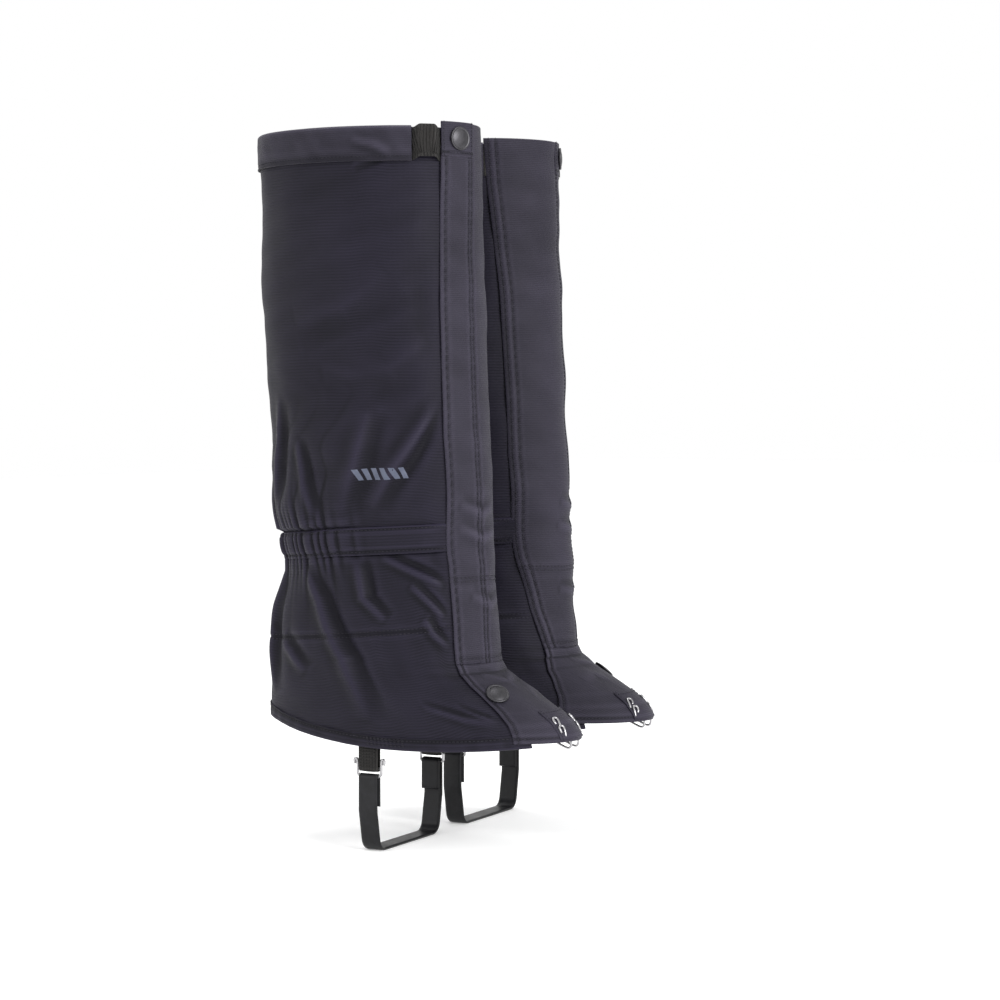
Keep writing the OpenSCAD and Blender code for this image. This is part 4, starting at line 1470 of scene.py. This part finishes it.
HOOK_RUN = [(148, 104.2), (164, 94.2), (172, 88), (172.5, 78), (162, 82), (156, 86)]
CLENCH = [(4.2, -1.9, -1.0), (0.5, -2.0, 0.1), (-3.2, -1.9, 0.2), (-3.3, 1.8, 0.2), (0.2, 1.9, 0.1),
          (1.6, 1.2, -0.4)]
HOOK_WIRE, BUCKLE_WIRE = 0.85, 1.05
STRAP_X, BAR_Y, BAR_Z, LINK = RIM_X + 30.0, 47.4, 61.0, 6.8
for side in SIDES:
    half_hook = [(RIM_X + x, -6.0, z) for x, z in HOOK_RUN]
    hook = rounded_path(half_hook + [(x, -y, z) for x, y, z in half_hook[::-1]])
    parts = [tube(hook, HOOK_WIRE)]
    for turn in (-13.0, 13.0):
        for level in (90.5, 95.5):
            seat = on_skin_axes(level, turn, 4.5)
            clench = [beside(seat, *step) for step in CLENCH]
            parts.append(tube(rounded_path(clench), HOOK_WIRE))
    wire = new_piece(f"{side}_lace_wire", *joined(parts), side, BRIGHT_WIRE)
    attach(wire, f"{side}_tongue")
    declare(side, ["lace_hook"])
    top, low = BAR_Z + 6.0, BAR_Z - LINK
    half_frame = [(12.2, top - 2.6), (12.6, top - 0.4), (11.2, top + 1.0), (9.8, top - 0.6),
                  (9.8, BAR_Z), (9.7, low)]
    frame_path = [(-x, z) for x, z in half_frame] + half_frame[::-1]
    outline = rounded_path([(STRAP_X + x, -BAR_Y, z) for x, z in frame_path])
    buckle = new_piece(f"{side}_buckle_wire", *tube(outline, BUCKLE_WIRE), side, BRIGHT_WIRE)
    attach(buckle, f"{side}_buckle")
    declare(side, ["buckle_frame"])
    for kept in ("buckle_bar", "strap_ring"):
        refinish(NODES[f"{side}_{kept}"], BRIGHT_WIRE)
print("wires of", HOOK_WIRE, "and", BUCKLE_WIRE, "mm radius")

# %% [markdown]
# Short webbing loops hang from inside the hem, and the moulded strap turns round a bar at each side and
# passes under the foot. Each is a flat band along a path across the leg, as the imported model has it.
# The webbing gets the same raised ribs as the cinch.

# %% Webbing loops and the instep strap
def bent_path(path, radii, steps=8):
    """A path of (y, z) whose corners are rounded, each to a radius from the list."""
    path = [np.array(point, float) for point in path]
    found = [path[0]]
    for before, corner, after, radius in zip(path, path[1:], path[2:], radii):
        a = (corner - before) / np.linalg.norm(corner - before)
        b = (after - corner) / np.linalg.norm(after - corner)
        turn = math.atan2(a[0] * b[1] - a[1] * b[0], a @ b)
        side = math.copysign(1, turn)
        start = corner - a * radius * math.tan(abs(turn) / 2)
        centre = start + side * radius * np.array([-a[1], a[0]])
        first = math.atan2(a[1], a[0]) - side * math.pi / 2
        for k in range(steps + 1):
            t = first + turn * k / steps
            point = centre + radius * np.array([math.cos(t), math.sin(t)])
            if np.linalg.norm(point - found[-1]) > 0.05:
                found.append(point)
    return np.array(found + [path[-1]])


def even_path(path, step=1.5):
    lengths = np.concatenate([[0], np.cumsum(np.linalg.norm(np.diff(path, axis=0), axis=1))])
    at = np.linspace(0, lengths[-1], max(int(lengths[-1] / step), 2) + 1)
    return np.stack([np.interp(at, lengths, path[:, k]) for k in range(2)], 1)


def band_sheet(path, width, thickness, columns=9):
    path = even_path(path)
    points = np.empty((len(path), columns, 3))
    points[..., 0] = STRAP_X + np.linspace(-0.5, 0.5, columns) * width
    points[..., 1:] = path[:, None, :]
    return Sheet(points, thickness)


def loop_path(at):
    turn = 1.9
    out, inn, low = at * (BAR_Y + turn), at * (BAR_Y - turn), BAR_Z - turn
    return bent_path([(out, 97), (out, low), (inn, low), (inn, 91)], [turn, turn])


def strap_path():
    turn, low = 2.2, 0.9
    top, out, inn = BAR_Z - LINK + turn, BAR_Y + turn, BAR_Y - turn
    half = [(inn, 34), (inn, top), (out, top), (out, 30), (44, low)]
    radii = [turn, turn, 20, 9]
    return bent_path([(-y, z) for y, z in half] + half[::-1], radii + radii[::-1])


for side in SIDES:
    for which, at in (("outer", -1), ("inner", 1)):
        loop = band_sheet(loop_path(at), 15.0, 1.15)
        piece = sheet_piece(f"{side}_{which}_loop_webbing", loop, side, WEBBING)
        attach(piece, f"{side}_gaiter")
        declare(side, [f"{which}_webbing_loop"])
        ridge = loop.line_down(7.5, 0.05 if at > 0 else -1.2)
        ribs = bead_piece(f"{side}_{which}_loop_ribs", [part_of(ridge, 0, 30)], side, WEBBING,
                          2.1, 1.3, 14.6, 0.7)
        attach(ribs, f"{side}_gaiter")
    band = band_sheet(strap_path(), 14.0, 1.8)
    strap = sheet_piece(f"{side}_instep_band", band, side, STRAP)
    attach(strap, f"{side}_strap")
    declare(side, ["instep_strap"])
    print(strap.name, "is", round(float(band.down[-1, 0])), "mm long")
